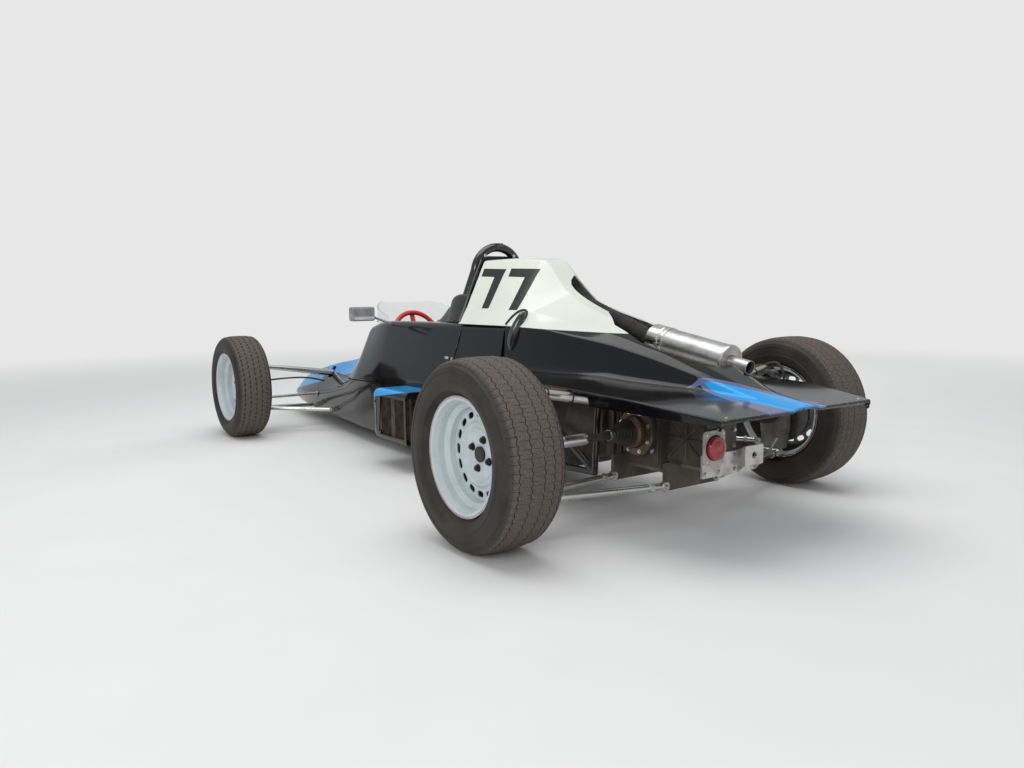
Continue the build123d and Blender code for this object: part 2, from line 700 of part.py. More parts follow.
def loft_pod(inset):
    wires = []
    for i, (y, inner, outer, low, high) in enumerate(POD_STATIONS):
        over = 2 if inset else 0
        y += (i - 1) * over
        points = [(inner + inset, low + inset, 12 - inset), (outer - inset, low + inset, 12 - inset),
                  (outer - inset, high - inset, 12 - inset), (inner + inset, high - inset, 12 - inset)]
        wires.append(section(y, points))
    return Solid.make_loft(wires)


def make_radiators():
    tub = body_solid(0)
    def one(side):
        core = block((270, 182, 138), (454, 218, 342)) - tub
        return core if side > 0 else mirror(core, Plane.YZ)
    return pair(one)


def make_mirrors():
    def one(side):
        head = Pos(side * 405, -190, 672) * Box(116, 46, 66)
        stem = rod((side * 358, -190, 660), (side * 258, -190, 622), 6)
        return joined(fillet(head.edges(), 10), stem)
    return pair(one)


def make_dash():
    face = body_solid(SKIN + 1) & block((-400, -566, 430), (400, -560, 700))
    centre, along, _ = steering_axis()
    hole = rod(centre - along * 400, centre, 13)
    return face - hole


def make_gear_lever():
    lever = rod((-228, -300, 330), (-218, -330, 452), 5)
    knob = Pos(-218, -331, 458) * Sphere(15)
    foot = block((-252, -330, 300), (-214, -270, 334))
    return joined(lever, knob, foot)


def make_air_scoop():
    """Ear-shaped intake on the left of the cover, mouth forward."""
    blister = Solid.make_loft([
        section(792, [(225, 555, 10), (325, 570, 14), (318, 672, 14), (200, 700, 10)]),
        section(850, [(225, 562, 10), (318, 582, 14), (305, 672, 14), (195, 698, 10)]),
        section(910, [(225, 585, 6), (280, 600, 6), (262, 660, 6), (190, 690, 6)]),
    ])
    cover = Solid.make_loft([section(row[0], tail_outline(row)) for row in TAIL_STATIONS[1:6]], ruled=True)
    return blister - cover


# Behind the gearbox: a back plate on its end, the lamp on the left, the jack plate on the right
BRACKET_Y = 1622
BACK_PLATE = 8
LENS_AT = (50, 272)
LENS_R = 41
JACK_CENTRE = (-115, 232.5)
JACK_HALF = (45, 32.5)
JACK_Y = 1652
JACK_HOLE_R = 11


def make_tail_lamp():
    """Round lens on a pale plate, bolted to the back plate."""
    x, z = LENS_AT
    plate_y = BRACKET_Y + BACK_PLATE
    plate = block((x - 50, plate_y, z - 54), (x + 50, plate_y + 6, z + 56))
    plate = fillet(plate.edges().filter_by(Axis.Y), 16)
    lens = rod((x, plate_y + 6, z), (x, plate_y + 26, z), LENS_R)
    return plate + lens


def make_tail_bracket():
    """Back plate with three cheeks that carry the square jacking plate."""
    rear = BRACKET_Y + BACK_PLATE
    x, z = JACK_CENTRE
    half_x, half_z = JACK_HALF
    parts = [block((x - half_x, BRACKET_Y, 176), (98, rear, 250))]
    cheek_outline = [
        (rear, 176), (JACK_Y, z - half_z), (JACK_Y, z + half_z), (rear, 250),
    ]
    cheeks = side_prism(cheek_outline)
    for at in (x - half_x, x + half_x - 6):
        parts.append(cheeks & block((at, rear, 100), (at + 6, JACK_Y, 400)))
    parts.append(block((x - half_x, JACK_Y, z - half_z), (x + half_x, JACK_Y + 8, z + half_z)))
    return joined(*parts) - rod((x, JACK_Y - 1, z), (x, JACK_Y + 9, z), JACK_HOLE_R)


def main():
    nose, tub, upper, sides, firewall, bulkhead = make_body_panels()
    nodes = {
        "nose_cone": nose,
        "lower_tub": joined(tub, firewall, bulkhead),
        "cockpit_surround": upper,
        "side_panels": sides,
        "tail_moulding": make_tail(),
        "roll_hoop": make_roll_hoop(),
        "head_fairing": make_head_fairing(),
        "windscreen": make_windscreen(),
        "mirrors": make_mirrors(),
        "dash_panel": make_dash(),
        "seat": make_seat(),
        "gear_lever": make_gear_lever(),
        "sidepods": make_sidepods(),
        "radiators": make_radiators(),
        "air_scoop": make_air_scoop(),
        "bay_frame": make_bay_frame(),
        "engine_block": make_engine(),
        "gearbox": make_gearbox(),
        "exhaust_pipe": make_exhaust_pipe(),
        "silencer": make_silencer(),
        "tail_lamp": make_tail_lamp(),
        "tail_bracket": make_tail_bracket(),
        "rack_housing": make_rack_housing(),
        "rack_bar": make_rack_bar(),
        "steering_wheel": make_steering_wheel(),
        "steering_column": make_steering_column(),
        "front_rockers": make_front_rockers(),
        "front_wishbones": make_front_wishbones(),
        "rear_uprights": make_rear_uprights(),
        "rear_rockers": make_rear_rockers(),
        "rear_wishbones": make_rear_wishbones(),
        "radius_rods": make_radius_rods(),
    }
    for name, side in (("left", 1), ("right", -1)):
        nodes[f"front_knuckle_{name}"] = make_knuckle(side)
        nodes[f"front_wheel_{name}"] = make_front_wheel(side)
        nodes[f"rear_wheel_{name}"] = make_rear_wheel(side)
        nodes[f"driveshaft_{name}"] = make_driveshaft(side)
    for corner, (centre, radius, width, half_rim) in CORNERS.items():
        end, name = corner.split("_")
        nodes[f"{end}_tyre_{name}"] = make_tyre(centre, radius, width, half_rim)
    os.makedirs("parts", exist_ok=True)
    for name, shape in nodes.items():
        export_step(shape, f"parts/{name}.step")
        print(name, len(shape.solids()))


main()
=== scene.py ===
"""Looks of an open wheel racing car of about 1981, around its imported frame.

Metres. The nose points along -Y, +X is the car's left side, +Z is up, the ground is z = 0.
"""

import math
import random

import bmesh
import bpy
from mathutils import Matrix, Vector
from mathutils.bvhtree import BVHTree


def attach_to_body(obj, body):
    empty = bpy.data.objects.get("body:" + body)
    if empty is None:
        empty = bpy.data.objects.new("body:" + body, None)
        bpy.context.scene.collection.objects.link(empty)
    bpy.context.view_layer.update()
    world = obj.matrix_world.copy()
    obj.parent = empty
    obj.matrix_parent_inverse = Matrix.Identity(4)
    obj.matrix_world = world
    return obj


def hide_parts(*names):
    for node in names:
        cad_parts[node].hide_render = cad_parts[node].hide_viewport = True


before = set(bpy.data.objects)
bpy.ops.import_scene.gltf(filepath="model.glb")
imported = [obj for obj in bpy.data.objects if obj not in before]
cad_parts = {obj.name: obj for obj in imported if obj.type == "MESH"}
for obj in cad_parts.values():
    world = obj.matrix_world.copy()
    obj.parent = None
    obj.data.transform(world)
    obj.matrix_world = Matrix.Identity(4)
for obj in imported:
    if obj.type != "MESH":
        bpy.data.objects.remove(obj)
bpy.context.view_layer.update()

# Studio: a pale floor that fades into an even pale backdrop, a wide softbox overhead and two
# at the sides. The camera stands where the photographer stood, behind the left rear wheel.
BACKDROP = (0.80, 0.80, 0.80, 1)
CAMERA_AT = Vector((2.0477, 3.3713, 0.7773))
CAMERA_YAW = math.radians(-35.016)
CAMERA_PITCH = math.radians(-6.540)
CAMERA_ROLL = math.radians(-0.611)
SOFTBOXES = [
    # name, place, aim, width, depth, watts
    ("overhead", (0.6, 0.4, 4.6), (0, 0.1, 0), 5.0, 3.4, 125),
    ("left_rear", (4.6, 4.4, 2.6), (0, 0.6, 0.3), 2.6, 2.0, 95),
    ("right_front", (-4.4, -3.0, 2.8), (0, 0, 0.3), 3.0, 2.2, 70),
]


def node(tree, kind, inputs=None, **settings):
    """Adds a shader node; inputs may be values or sockets to link from."""
    made = tree.nodes.new("ShaderNode" + kind)
    for name, value in settings.items():
        setattr(made, name, value)
    for socket, value in (inputs or {}).items():
        if isinstance(value, bpy.types.NodeSocket):
            tree.links.new(value, made.inputs[socket])
        else:
            made.inputs[socket].default_value = value
    return made


def calc(tree, operation, *values, clamp=False):
    """Output socket of a Math node."""
    made = node(tree, "Math", dict(enumerate(values)), operation=operation, use_clamp=clamp)
    return made.outputs[0]


def tint(tree, mask, base, over):
    """Output socket of a colour mix from base to over by a mask."""
    made = node(tree, "Mix", {0: mask, 6: base, 7: over}, data_type="RGBA")
    return made.outputs[2]


def new_material(name):
    """A material, its node tree and its Principled shader."""
    material = bpy.data.materials.new(name)
    material.use_nodes = True
    tree = material.node_tree
    return material, tree, tree.nodes["Principled BSDF"]


def make_studio():
    bpy.ops.mesh.primitive_circle_add(vertices=96, radius=60, fill_type="NGON")
    floor = bpy.context.object
    floor.name = "studio_floor"
    material, tree, shader = new_material("studio_floor_paint")
    shader.inputs["Roughness"].default_value = 0.95
    place = node(tree, "TexCoord").outputs["Object"]
    speckle = node(tree, "TexNoise", {"Vector": place, "Scale": 4.0, "Detail": 3.0}).outputs[0]
    tree.links.new(tint(tree, speckle, (0.76, 0.755, 0.75, 1), (0.80, 0.795, 0.79, 1)), shader.inputs["Base Color"])
    distance = node(tree, "VectorMath", {0: place}, operation="LENGTH").outputs["Value"]
    far = node(tree, "MapRange", {0: distance, 1: 2.4, 2: 8.5}, interpolation_type="SMOOTHSTEP")
    path = node(tree, "LightPath")
    seen = calc(tree, "MAXIMUM", path.outputs["Is Camera Ray"], path.outputs["Is Glossy Ray"])
    seen = calc(tree, "MAXIMUM", seen, path.outputs["Is Transmission Ray"])
    glow = node(tree, "Emission", {"Color": BACKDROP, "Strength": 1.0})
    fade = calc(tree, "MULTIPLY", far.outputs[0], seen)
    mixed = node(tree, "MixShader", {0: fade, 1: shader.outputs[0], 2: glow.outputs[0]})
    tree.links.new(mixed.outputs[0], tree.nodes["Material Output"].inputs["Surface"])
    floor.data.materials.append(material)

    world = bpy.data.worlds.new("studio_air")
    bpy.context.scene.world = world
    world.use_nodes = True
    tree = world.node_tree
    tree.nodes.clear()
    path = node(tree, "LightPath")
    seen = calc(tree, "MAXIMUM", path.outputs["Is Camera Ray"], path.outputs["Is Transmission Ray"])
    backdrop = node(tree, "Background", {"Color": BACKDROP, "Strength": 1.0})
    air = node(tree, "Background", {"Color": (0.86, 0.88, 0.90, 1), "Strength": 0.58})
    mixed = node(tree, "MixShader", {0: seen, 1: air.outputs[0], 2: backdrop.outputs[0]})
    out = node(tree, "OutputWorld")
    tree.links.new(mixed.outputs[0], out.inputs["Surface"])

    for name, place, aim, width, depth, watts in SOFTBOXES:
        lamp = bpy.data.lights.new(name, "AREA")
        lamp.shape = "RECTANGLE"
        lamp.size = width
        lamp.size_y = depth
        lamp.energy = watts
        holder = bpy.data.objects.new(name, lamp)
        bpy.context.collection.objects.link(holder)
        holder.location = place
        holder.rotation_euler = (Vector(aim) - Vector(place)).to_track_quat("-Z", "Y").to_euler()
        holder.visible_camera = False
        holder.visible_glossy = name != "right_front"


def make_camera():
    camera = bpy.data.cameras.new("photographer")
    camera.sensor_width = 36.0
    camera.lens = 28.92
    ahead = Vector((
        math.sin(CAMERA_YAW) * math.cos(CAMERA_PITCH),
        -math.cos(CAMERA_YAW) * math.cos(CAMERA_PITCH),
        math.sin(CAMERA_PITCH),
    ))
    level = ahead.cross(Vector((0, 0, 1))).normalized()
    rise = level.cross(ahead)
    right = level * math.cos(CAMERA_ROLL) + rise * math.sin(CAMERA_ROLL)
    up = rise * math.cos(CAMERA_ROLL) - level * math.sin(CAMERA_ROLL)
    holder = bpy.data.objects.new("photographer", camera)
    bpy.context.collection.objects.link(holder)
    turn = Matrix((right, up, -ahead)).transposed()
    holder.matrix_world = Matrix.Translation(CAMERA_AT) @ turn.to_4x4()
    bpy.context.scene.camera = holder


make_studio()
make_camera()
bpy.context.scene.view_settings.view_transform = "Standard"

# Effects that several finishes share, each a node group: patches of wear, dust that settles
# on upward faces and low down, and a fine grain for bump.


def new_group(name, numbers, outputs):
    """A shader node group with float inputs and outputs, and its input node."""
    group = bpy.data.node_groups.new(name, "ShaderNodeTree")
    for label, value in numbers.items():
        socket = group.interface.new_socket(label, in_out="INPUT", socket_type="NodeSocketFloat")
        socket.default_value = value
    for label in outputs:
        group.interface.new_socket(label, in_out="OUTPUT", socket_type="NodeSocketFloat")
    return group, group.nodes.new("NodeGroupInput"), group.nodes.new("NodeGroupOutput")


def make_patches_group():
    group, given, result = new_group("patches", {"Scale": 8.0, "Low": 0.45, "High": 0.7}, ["Mask"])
    place = node(group, "TexCoord").outputs["Object"]
    cloud = node(group, "TexNoise", {"Vector": place, "Scale": given.outputs["Scale"], "Detail": 7.0, "Roughness": 0.62})
    ramp = node(group, "MapRange", {0: cloud.outputs[0], 1: given.outputs["Low"], 2: given.outputs["High"]})
    group.links.new(ramp.outputs[0], result.inputs["Mask"])
    return group


def make_dust_group():
    group, given, result = new_group("settled_dust", {"Amount": 0.4, "Reach": 0.35}, ["Mask"])
    place = node(group, "TexCoord").outputs["Object"]
    height = node(group, "SeparateXYZ", {0: place}).outputs[2]
    low = node(group, "MapRange", {0: height, 1: given.outputs["Reach"], 2: 0.05}).outputs[0]
    facing = node(group, "SeparateXYZ", {0: node(group, "NewGeometry").outputs["Normal"]}).outputs[2]
    top = node(group, "MapRange", {0: facing, 1: 0.35, 2: 1.0}).outputs[0]
    cloud = node(group, "TexNoise", {"Vector": place, "Scale": 14.0, "Detail": 8.0, "Roughness": 0.7}).outputs[0]
    rough = node(group, "MapRange", {0: cloud, 1: 0.35, 2: 0.72}).outputs[0]
    both = calc(group, "ADD", calc(group, "MULTIPLY", low, 0.8), calc(group, "MULTIPLY", top, 0.45))
    mask = calc(group, "MULTIPLY", calc(group, "MULTIPLY", both, rough), given.outputs["Amount"], clamp=True)
    group.links.new(mask, result.inputs["Mask"])
    return group


def make_grain_group():
    group, given, result = new_group("fine_grain", {"Scale": 300.0, "Coarse": 0.3}, ["Height"])
    place = node(group, "TexCoord").outputs["Object"]
    fine = node(group, "TexNoise", {"Vector": place, "Scale": given.outputs["Scale"], "Detail": 4.0}).outputs[0]
    wide = calc(group, "MULTIPLY", given.outputs["Scale"], 0.06)
    coarse = node(group, "TexNoise", {"Vector": place, "Scale": wide, "Detail": 2.0}).outputs[0]
    mixed = node(group, "Mix", {0: given.outputs["Coarse"], 2: fine, 3: coarse}).outputs[0]
    group.links.new(mixed, result.inputs["Height"])
    return group


EFFECTS = {"patches": make_patches_group(), "dust": make_dust_group(), "grain": make_grain_group()}


def effect(tree, name, **values):
    """First output socket of a shared effect with its own values."""
    made = tree.nodes.new("ShaderNodeGroup")
    made.node_tree = EFFECTS[name]
    for label, value in values.items():
        made.inputs[label].default_value = value
    return made.outputs[0]


def bumped(tree, shader, height, strength, distance):
    bump = node(tree, "Bump", {"Height": height, "Strength": strength, "Distance": distance})
    tree.links.new(bump.outputs[0], shader.inputs["Normal"])


def finish(name, colour, worn, rough, rough_worn, metal=0.0, dust=0.3, reach=0.35, scale=9.0,
           grain=300.0, bump=0.15, depth=0.0006, low=0.45, high=0.7, **shader_values):
    """A rigid finish: two tones in patches, settled dust, and a grain."""
    material, tree, shader = new_material(name)
    worn_mask = effect(tree, "patches", Scale=scale, Low=low, High=high)
    dusty = effect(tree, "dust", Amount=dust, Reach=reach)
    base = tint(tree, worn_mask, (*colour, 1), (*worn, 1))
    tree.links.new(tint(tree, dusty, base, (0.20, 0.175, 0.145, 1)), shader.inputs["Base Color"])
    roughness = node(tree, "MapRange", {0: worn_mask, 3: rough, 4: rough_worn}).outputs[0]
    roughness = calc(tree, "ADD", roughness, calc(tree, "MULTIPLY", dusty, 0.5), clamp=True)
    tree.links.new(roughness, shader.inputs["Roughness"])
    if metal:
        left = calc(tree, "SUBTRACT", metal, dusty, clamp=True)
        tree.links.new(left, shader.inputs["Metallic"])
    bumped(tree, shader, effect(tree, "grain", Scale=grain, Coarse=0.4), bump, depth)
    for label, value in shader_values.items():
        shader.inputs[label.replace("_", " ")].default_value = value
    return material


def wear(material, *names):
    """Puts one finish on CAD pieces whose shape is already right."""
    for name in names:
        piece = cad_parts[name]
        piece = piece if isinstance(piece, bpy.types.Object) else bpy.data.objects[name]
        for slot in piece.material_slots:
            slot.material = material
        if not piece.material_slots:
            piece.data.materials.append(material)


# Body skins: hand-laid glass fibre with a polished gelcoat, one surface through the same
# stations as the moulds, cut into panels that leave a 2 mm shut line.
SKIN = 0.005
BODY_STATIONS = [
    # y, floor half-width, floor z, waist half-width, waist z, top half-width, top z
    (-1.940, 0.050, 0.098, 0.078, 0.122, 0.042, 0.158),
    (-1.790, 0.120, 0.084, 0.150, 0.140, 0.084, 0.222),
    (-1.480, 0.172, 0.078, 0.206, 0.165, 0.118, 0.300),
    (-1.130, 0.205, 0.075, 0.238, 0.200, 0.140, 0.365),
    (-0.760, 0.240, 0.072, 0.272, 0.270, 0.155, 0.425),
    (-0.500, 0.262, 0.070, 0.300, 0.345, 0.205, 0.600),
    (-0.200, 0.270, 0.070, 0.312, 0.372, 0.250, 0.634),
    (0.470, 0.275, 0.070, 0.314, 0.376, 0.264, 0.640),
    (0.780, 0.272, 0.070, 0.310, 0.376, 0.262, 0.640),
]


def eased(table, y):
    """Columns of a station table at y, on curves that never overshoot their rows."""
    last = len(table) - 1
    k = max(i for i in range(last) if i == 0 or table[i][0] <= y)
    gap = table[k + 1][0] - table[k][0]
    t = min(max((y - table[k][0]) / gap, 0.0), 1.0)
    values = []
    for column in range(1, len(table[0])):
        slopes = [
            (table[i + 1][column] - table[i][column]) / (table[i + 1][0] - table[i][0])
            for i in range(last)
        ]

        def tangent(i):
            if i in (0, last):
                return slopes[min(i, last - 1)]
            before, after = slopes[i - 1], slopes[i]
            return 0.0 if before * after <= 0 else 2 * before * after / (before + after)

        a, b = table[k][column], table[k + 1][column]
        values.append(
            (2 * t**3 - 3 * t**2 + 1) * a + (t**3 - 2 * t**2 + t) * gap * tangent(k)
            + (3 * t**2 - 2 * t**3) * b + (t**3 - t**2) * gap * tangent(k + 1)
        )
    return values


def rounded(corners, spans, closed, arc_steps=5):
    """Points round (x, z, radius) corners, with each straight run cut into spans[i] cells."""
    count = len(corners)
    arcs = []
    for i, (x, z, r) in enumerate(corners):
        here = Vector((x, z))
        if not r or (not closed and i in (0, count - 1)):
            arcs.append([here])
            continue
        back = Vector(corners[i - 1][:2]) - here
        out = Vector(corners[(i + 1) % count][:2]) - here
        half = back.angle(out) / 2
        reach = min(r / math.tan(half), 0.46 * back.length, 0.46 * out.length)
        start, end = here + back.normalized() * reach, here + out.normalized() * reach
        arcs.append([
            start * (1 - s) ** 2 + here * 2 * s * (1 - s) + end * s**2
            for s in (j / arc_steps for j in range(arc_steps + 1))
        ])
    points = []
    for i, arc in enumerate(arcs):
        points += arc
        if i < count - 1 or closed:
            start, end = arc[-1], arcs[(i + 1) % count][0]
            points += [start.lerp(end, j / spans[i]) for j in range(1, spans[i])]
    return points


def grid(rows, closed):
    """Open or wrapped surface through rows of points, as a bmesh."""
    surface = bmesh.new()
    made = [[surface.verts.new(p) for p in row] for row in rows]
    width = len(rows[0])
    for low, high in zip(made[:-1], made[1:]):
        for j in range(width if closed else width - 1):
            k = (j + 1) % width
            surface.faces.new((low[j], low[k], high[k], high[j]))
    return surface


def trim(surface, point, outward):
    """Cuts a surface by a plane and drops what is beyond it."""
    everything = surface.verts[:] + surface.edges[:] + surface.faces[:]
    bmesh.ops.bisect_plane(surface, geom=everything, plane_co=point, plane_no=outward, clear_outer=True, dist=1e-6)


def within(outline, x, y):
    """Whether a point is inside a closed outline."""
    inside = False
    for (x0, y0), (x1, y1) in zip(outline, outline[1:] + outline[:1]):
        if (y0 > y) != (y1 > y) and x < (x1 - x0) * (y - y0) / (y1 - y0) + x0:
            inside = not inside
    return inside


def punch(surface, outline, axes, test):
    """Opens a hole of the given outline, seen along the third axis, where test(centre) holds."""
    i, j = axes
    for (a0, b0), (a1, b1) in zip(outline, outline[1:] + outline[:1]):
        point, across = Vector((0, 0, 0)), Vector((0, 0, 0))
        point[i], point[j] = a0, b0
        across[i], across[j] = b1 - b0, a0 - a1
        low_a, high_a = sorted((a0, a1))
        low_b, high_b = sorted((b0, b1))
        near = [
            f for f in surface.faces
            if any(low_a - 0.03 < v.co[i] < high_a + 0.03 and low_b - 0.03 < v.co[j] < high_b + 0.03 for v in f.verts)
        ]
        geometry = set(near)
        for face in near:
            geometry.update(face.edges)
            geometry.update(face.verts)
        bmesh.ops.bisect_plane(surface, geom=list(geometry), plane_co=point, plane_no=across.normalized(), dist=1e-6)
    gone = []
    for face in surface.faces:
        centre = face.calc_center_median()
        if test(centre) and within(outline, centre[i], centre[j]):
            gone.append(face)
    bmesh.ops.delete(surface, geom=gone, context="FACES")


def as_piece(name, surface, thickness=0.0, sharp=34.0, bevel=0.0, normal_out=True):
    """Turns a bmesh into a smooth-shaded object, thickened inwards when asked."""
    bmesh.ops.remove_doubles(surface, verts=surface.verts, dist=2e-6)
    if normal_out:
        bmesh.ops.recalc_face_normals(surface, faces=surface.faces)
    mesh = bpy.data.meshes.new(name)
    surface.to_mesh(mesh)
    surface.free()
    piece = bpy.data.objects.new(name, mesh)
    bpy.context.collection.objects.link(piece)
    if thickness:
        solid = piece.modifiers.new("thickness", "SOLIDIFY")
        solid.thickness = abs(thickness)
        solid.offset = -1.0 if thickness > 0 else 1.0
        solid.use_even_offset = True
    if bevel:
        edge = piece.modifiers.new("edge", "BEVEL")
        edge.width = bevel
        edge.segments = 2
        edge.limit_method = "ANGLE"
        edge.angle_limit = math.radians(50)
    if thickness or bevel:
        settle(piece)
    piece.data.polygons.foreach_set("use_smooth", [True] * len(piece.data.polygons))
    piece.data.set_sharp_from_angle(angle=math.radians(sharp))
    weighted = piece.modifiers.new("normals", "WEIGHTED_NORMAL")
    weighted.keep_sharp = True
    return piece


def settle(piece):
    """Applies a piece's modifiers to its mesh."""
    graph = bpy.context.evaluated_depsgraph_get()
    mesh = bpy.data.meshes.new_from_object(piece.evaluated_get(graph))
    piece.modifiers.clear()
    piece.data = mesh


def body_section(y, grow=0.0):
    """Ring of points round the body at y."""
    floor_half, floor_z, waist_half, waist_z, top_half, top_z = eased(BODY_STATIONS, y)
    radius = 0.026 if y > -1.7 else 0.016
    half = [(floor_half, floor_z, radius), (waist_half, waist_z, radius * 1.8), (top_half, top_z, radius * 1.3)]
    corners = half + [(-x, z, r) for x, z, r in reversed(half)]
    ring = rounded(corners, (6, 8, 10, 8, 6, 10), closed=True)
    tip = y - BODY_STATIONS[0][0]
    nose_r = 0.03
    if tip < nose_r:
        inset = nose_r - math.sqrt(max(nose_r**2 - (nose_r - tip) ** 2, 0))
        ring = [Vector((p.x * (1 - inset / 0.075), 0.128 + (p.y - 0.128) * (1 - inset / 0.038))) for p in ring]
    return [Vector((p.x, y, p.y)) for p in ring]


def body_skin(start, end, step=0.012):
    """Body surface between two stations."""
    count = max(2, round((end - start) / step))
    ys = [start + (end - start) * i / count for i in range(count + 1)]
    if start == BODY_STATIONS[0][0]:
        ys = [start + d for d in (0, 0.001, 0.004, 0.009, 0.016, 0.024)] + [y for y in ys if y > start + 0.03]
    surface = grid([body_section(y) for y in ys], closed=True)
    if start == BODY_STATIONS[0][0]:
        surface.verts.ensure_lookup_table()
        ring = [v for v in surface.verts if abs(v.co.y - start) < 1e-7]
        surface.faces.new(ring)
    return surface


def gelcoat(name, paint):
    """Polished gelcoat over glass fibre; paint(tree, x, y, z) gives its colour socket."""
    material, tree, shader = new_material(name)
    place = node(tree, "TexCoord").outputs["Object"]
    x, y, z = node(tree, "SeparateXYZ", {0: place}).outputs
    dusty = effect(tree, "dust", Amount=0.12, Reach=0.32)
    hazy = effect(tree, "patches", Scale=5.0, Low=0.42, High=0.78)
    colour = tint(tree, dusty, paint(tree, x, y, z), (0.17, 0.15, 0.13, 1))
    tree.links.new(colour, shader.inputs["Base Color"])
    roughness = calc(tree, "ADD", calc(tree, "MULTIPLY", hazy, 0.05), 0.09)
    roughness = calc(tree, "ADD", roughness, calc(tree, "MULTIPLY", dusty, 0.6), clamp=True)
    tree.links.new(roughness, shader.inputs["Roughness"])
    shader.inputs["Specular IOR Level"].default_value = 0.30
    shader.inputs["Coat Weight"].default_value = 0.15
    shader.inputs["Coat Roughness"].default_value = 0.05
    waves = node(tree, "TexNoise", {"Vector": place, "Scale": 7.0, "Detail": 1.0}).outputs[0]
    peel = effect(tree, "grain", Scale=420.0, Coarse=0.1)
    height = calc(tree, "ADD", calc(tree, "MULTIPLY", waves, 1.2), calc(tree, "MULTIPLY", peel, 0.05))
    bumped(tree, shader, height, 0.22, 0.002)
    return material


def line_mask(tree, a, b, p, q, width=0.0012):
    """1 on the left of the line from p to q in the plane of sockets a and b, 0 on its right."""
    run = Vector(q) - Vector(p)
    run.normalize()
    da = calc(tree, "SUBTRACT", a, p[0])
    db = calc(tree, "SUBTRACT", b, p[1])
    side = calc(tree, "SUBTRACT", calc(tree, "MULTIPLY", db, run[0]), calc(tree, "MULTIPLY", da, run[1]))
    return calc(tree, "ADD", calc(tree, "DIVIDE", side, width), 0.5, clamp=True)


WHITE = (0.73, 0.755, 0.68, 1)
BLACK = (0.004, 0.004, 0.005, 1)
BLUE = (0.010, 0.33, 0.78, 1)
VIOLET = (0.105, 0.13, 0.27, 1)


def black_paint(tree, x, y, z):
    scuffs = effect(tree, "patches", Scale=60.0, Low=0.66, High=0.74)
    return tint(tree, calc(tree, "MULTIPLY", scuffs, 0.25), BLACK, (0.09, 0.085, 0.08, 1))


def nose_paint(tree, x, y, z):
    """Blue over the top, black below a line that rises with the nose."""
    upper = line_mask(tree, y, z, (-1.94, 0.128), (-0.72, 0.345))
    return tint(tree, upper, black_paint(tree, x, y, z), BLUE)


black_gelcoat = gelcoat("black_gelcoat", black_paint)
nose_gelcoat = gelcoat("blue_and_black_gelcoat", nose_paint)
NOSE_Y, BULKHEAD_Y, SCUTTLE_Y, FIREWALL_Y, COVER_Y = -1.94, -1.25, -0.72, 0.47, 0.78
FRONT_Y, RACK_Y, RACK_Z = -1.13, -1.22, 0.185
SEAM = 0.002


def sides_open(surface):
    """Mouths for the rocker arms and holes for the track rods in the body's sides."""
    mouth = [(FRONT_Y - 0.034, 0.284), (FRONT_Y + 0.034, 0.284), (FRONT_Y + 0.034, 0.346), (FRONT_Y - 0.034, 0.346)]
    punch(surface, mouth, (1, 2), lambda c: abs(c.x) > 0.1)
    ring = [(RACK_Y + 0.018 * math.cos(a), RACK_Z + 0.018 * math.sin(a)) for a in (math.tau * i / 12 for i in range(12))]
    punch(surface, ring, (1, 2), lambda c: abs(c.x) > 0.1)


def make_nose():
    surface = body_skin(NOSE_Y, SCUTTLE_Y)
    step = [(BULKHEAD_Y, 0.0), (SCUTTLE_Y + 0.1, 0.0), (SCUTTLE_Y + 0.1, 0.318), (BULKHEAD_Y, 0.318)]
    punch(surface, step, (1, 2), lambda c: True)
    sides_open(surface)
    nose = as_piece("nose_skin", surface, SKIN)
    nose.data.materials.append(nose_gelcoat)
    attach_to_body(nose, "chassis")
    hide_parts("nose_cone")


def make_tub():
    surface = body_skin(BULKHEAD_Y + SEAM, FIREWALL_Y)
    rise = (0.368 - 0.318) / (FIREWALL_Y - SCUTTLE_Y)
    above = [
        (BULKHEAD_Y - 0.1, 0.318 - SEAM), (SCUTTLE_Y, 0.318 - SEAM), (FIREWALL_Y + 0.1, 0.368 - SEAM + 0.1 * rise),
        (FIREWALL_Y + 0.1, 0.9), (BULKHEAD_Y - 0.1, 0.9),
    ]
    punch(surface, above, (1, 2), lambda c: True)
    sides_open(surface)
    tub = as_piece("tub_skin", surface, SKIN)
    tub.data.materials.append(black_gelcoat)
    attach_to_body(tub, "chassis")
    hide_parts("lower_tub")
    for name, y, outline_y in (("bulkhead", -1.248, -1.246), ("firewall", 0.455, 0.458)):
        ring = body_section(outline_y, -0.004)
        wall = bmesh.new()
        wall.faces.new([wall.verts.new((p.x, y, p.z)) for p in ring])
        panel = as_piece(name, wall, 0.004, normal_out=False)
        panel.data.materials.append(black_gelcoat)
        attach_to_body(panel, "chassis")


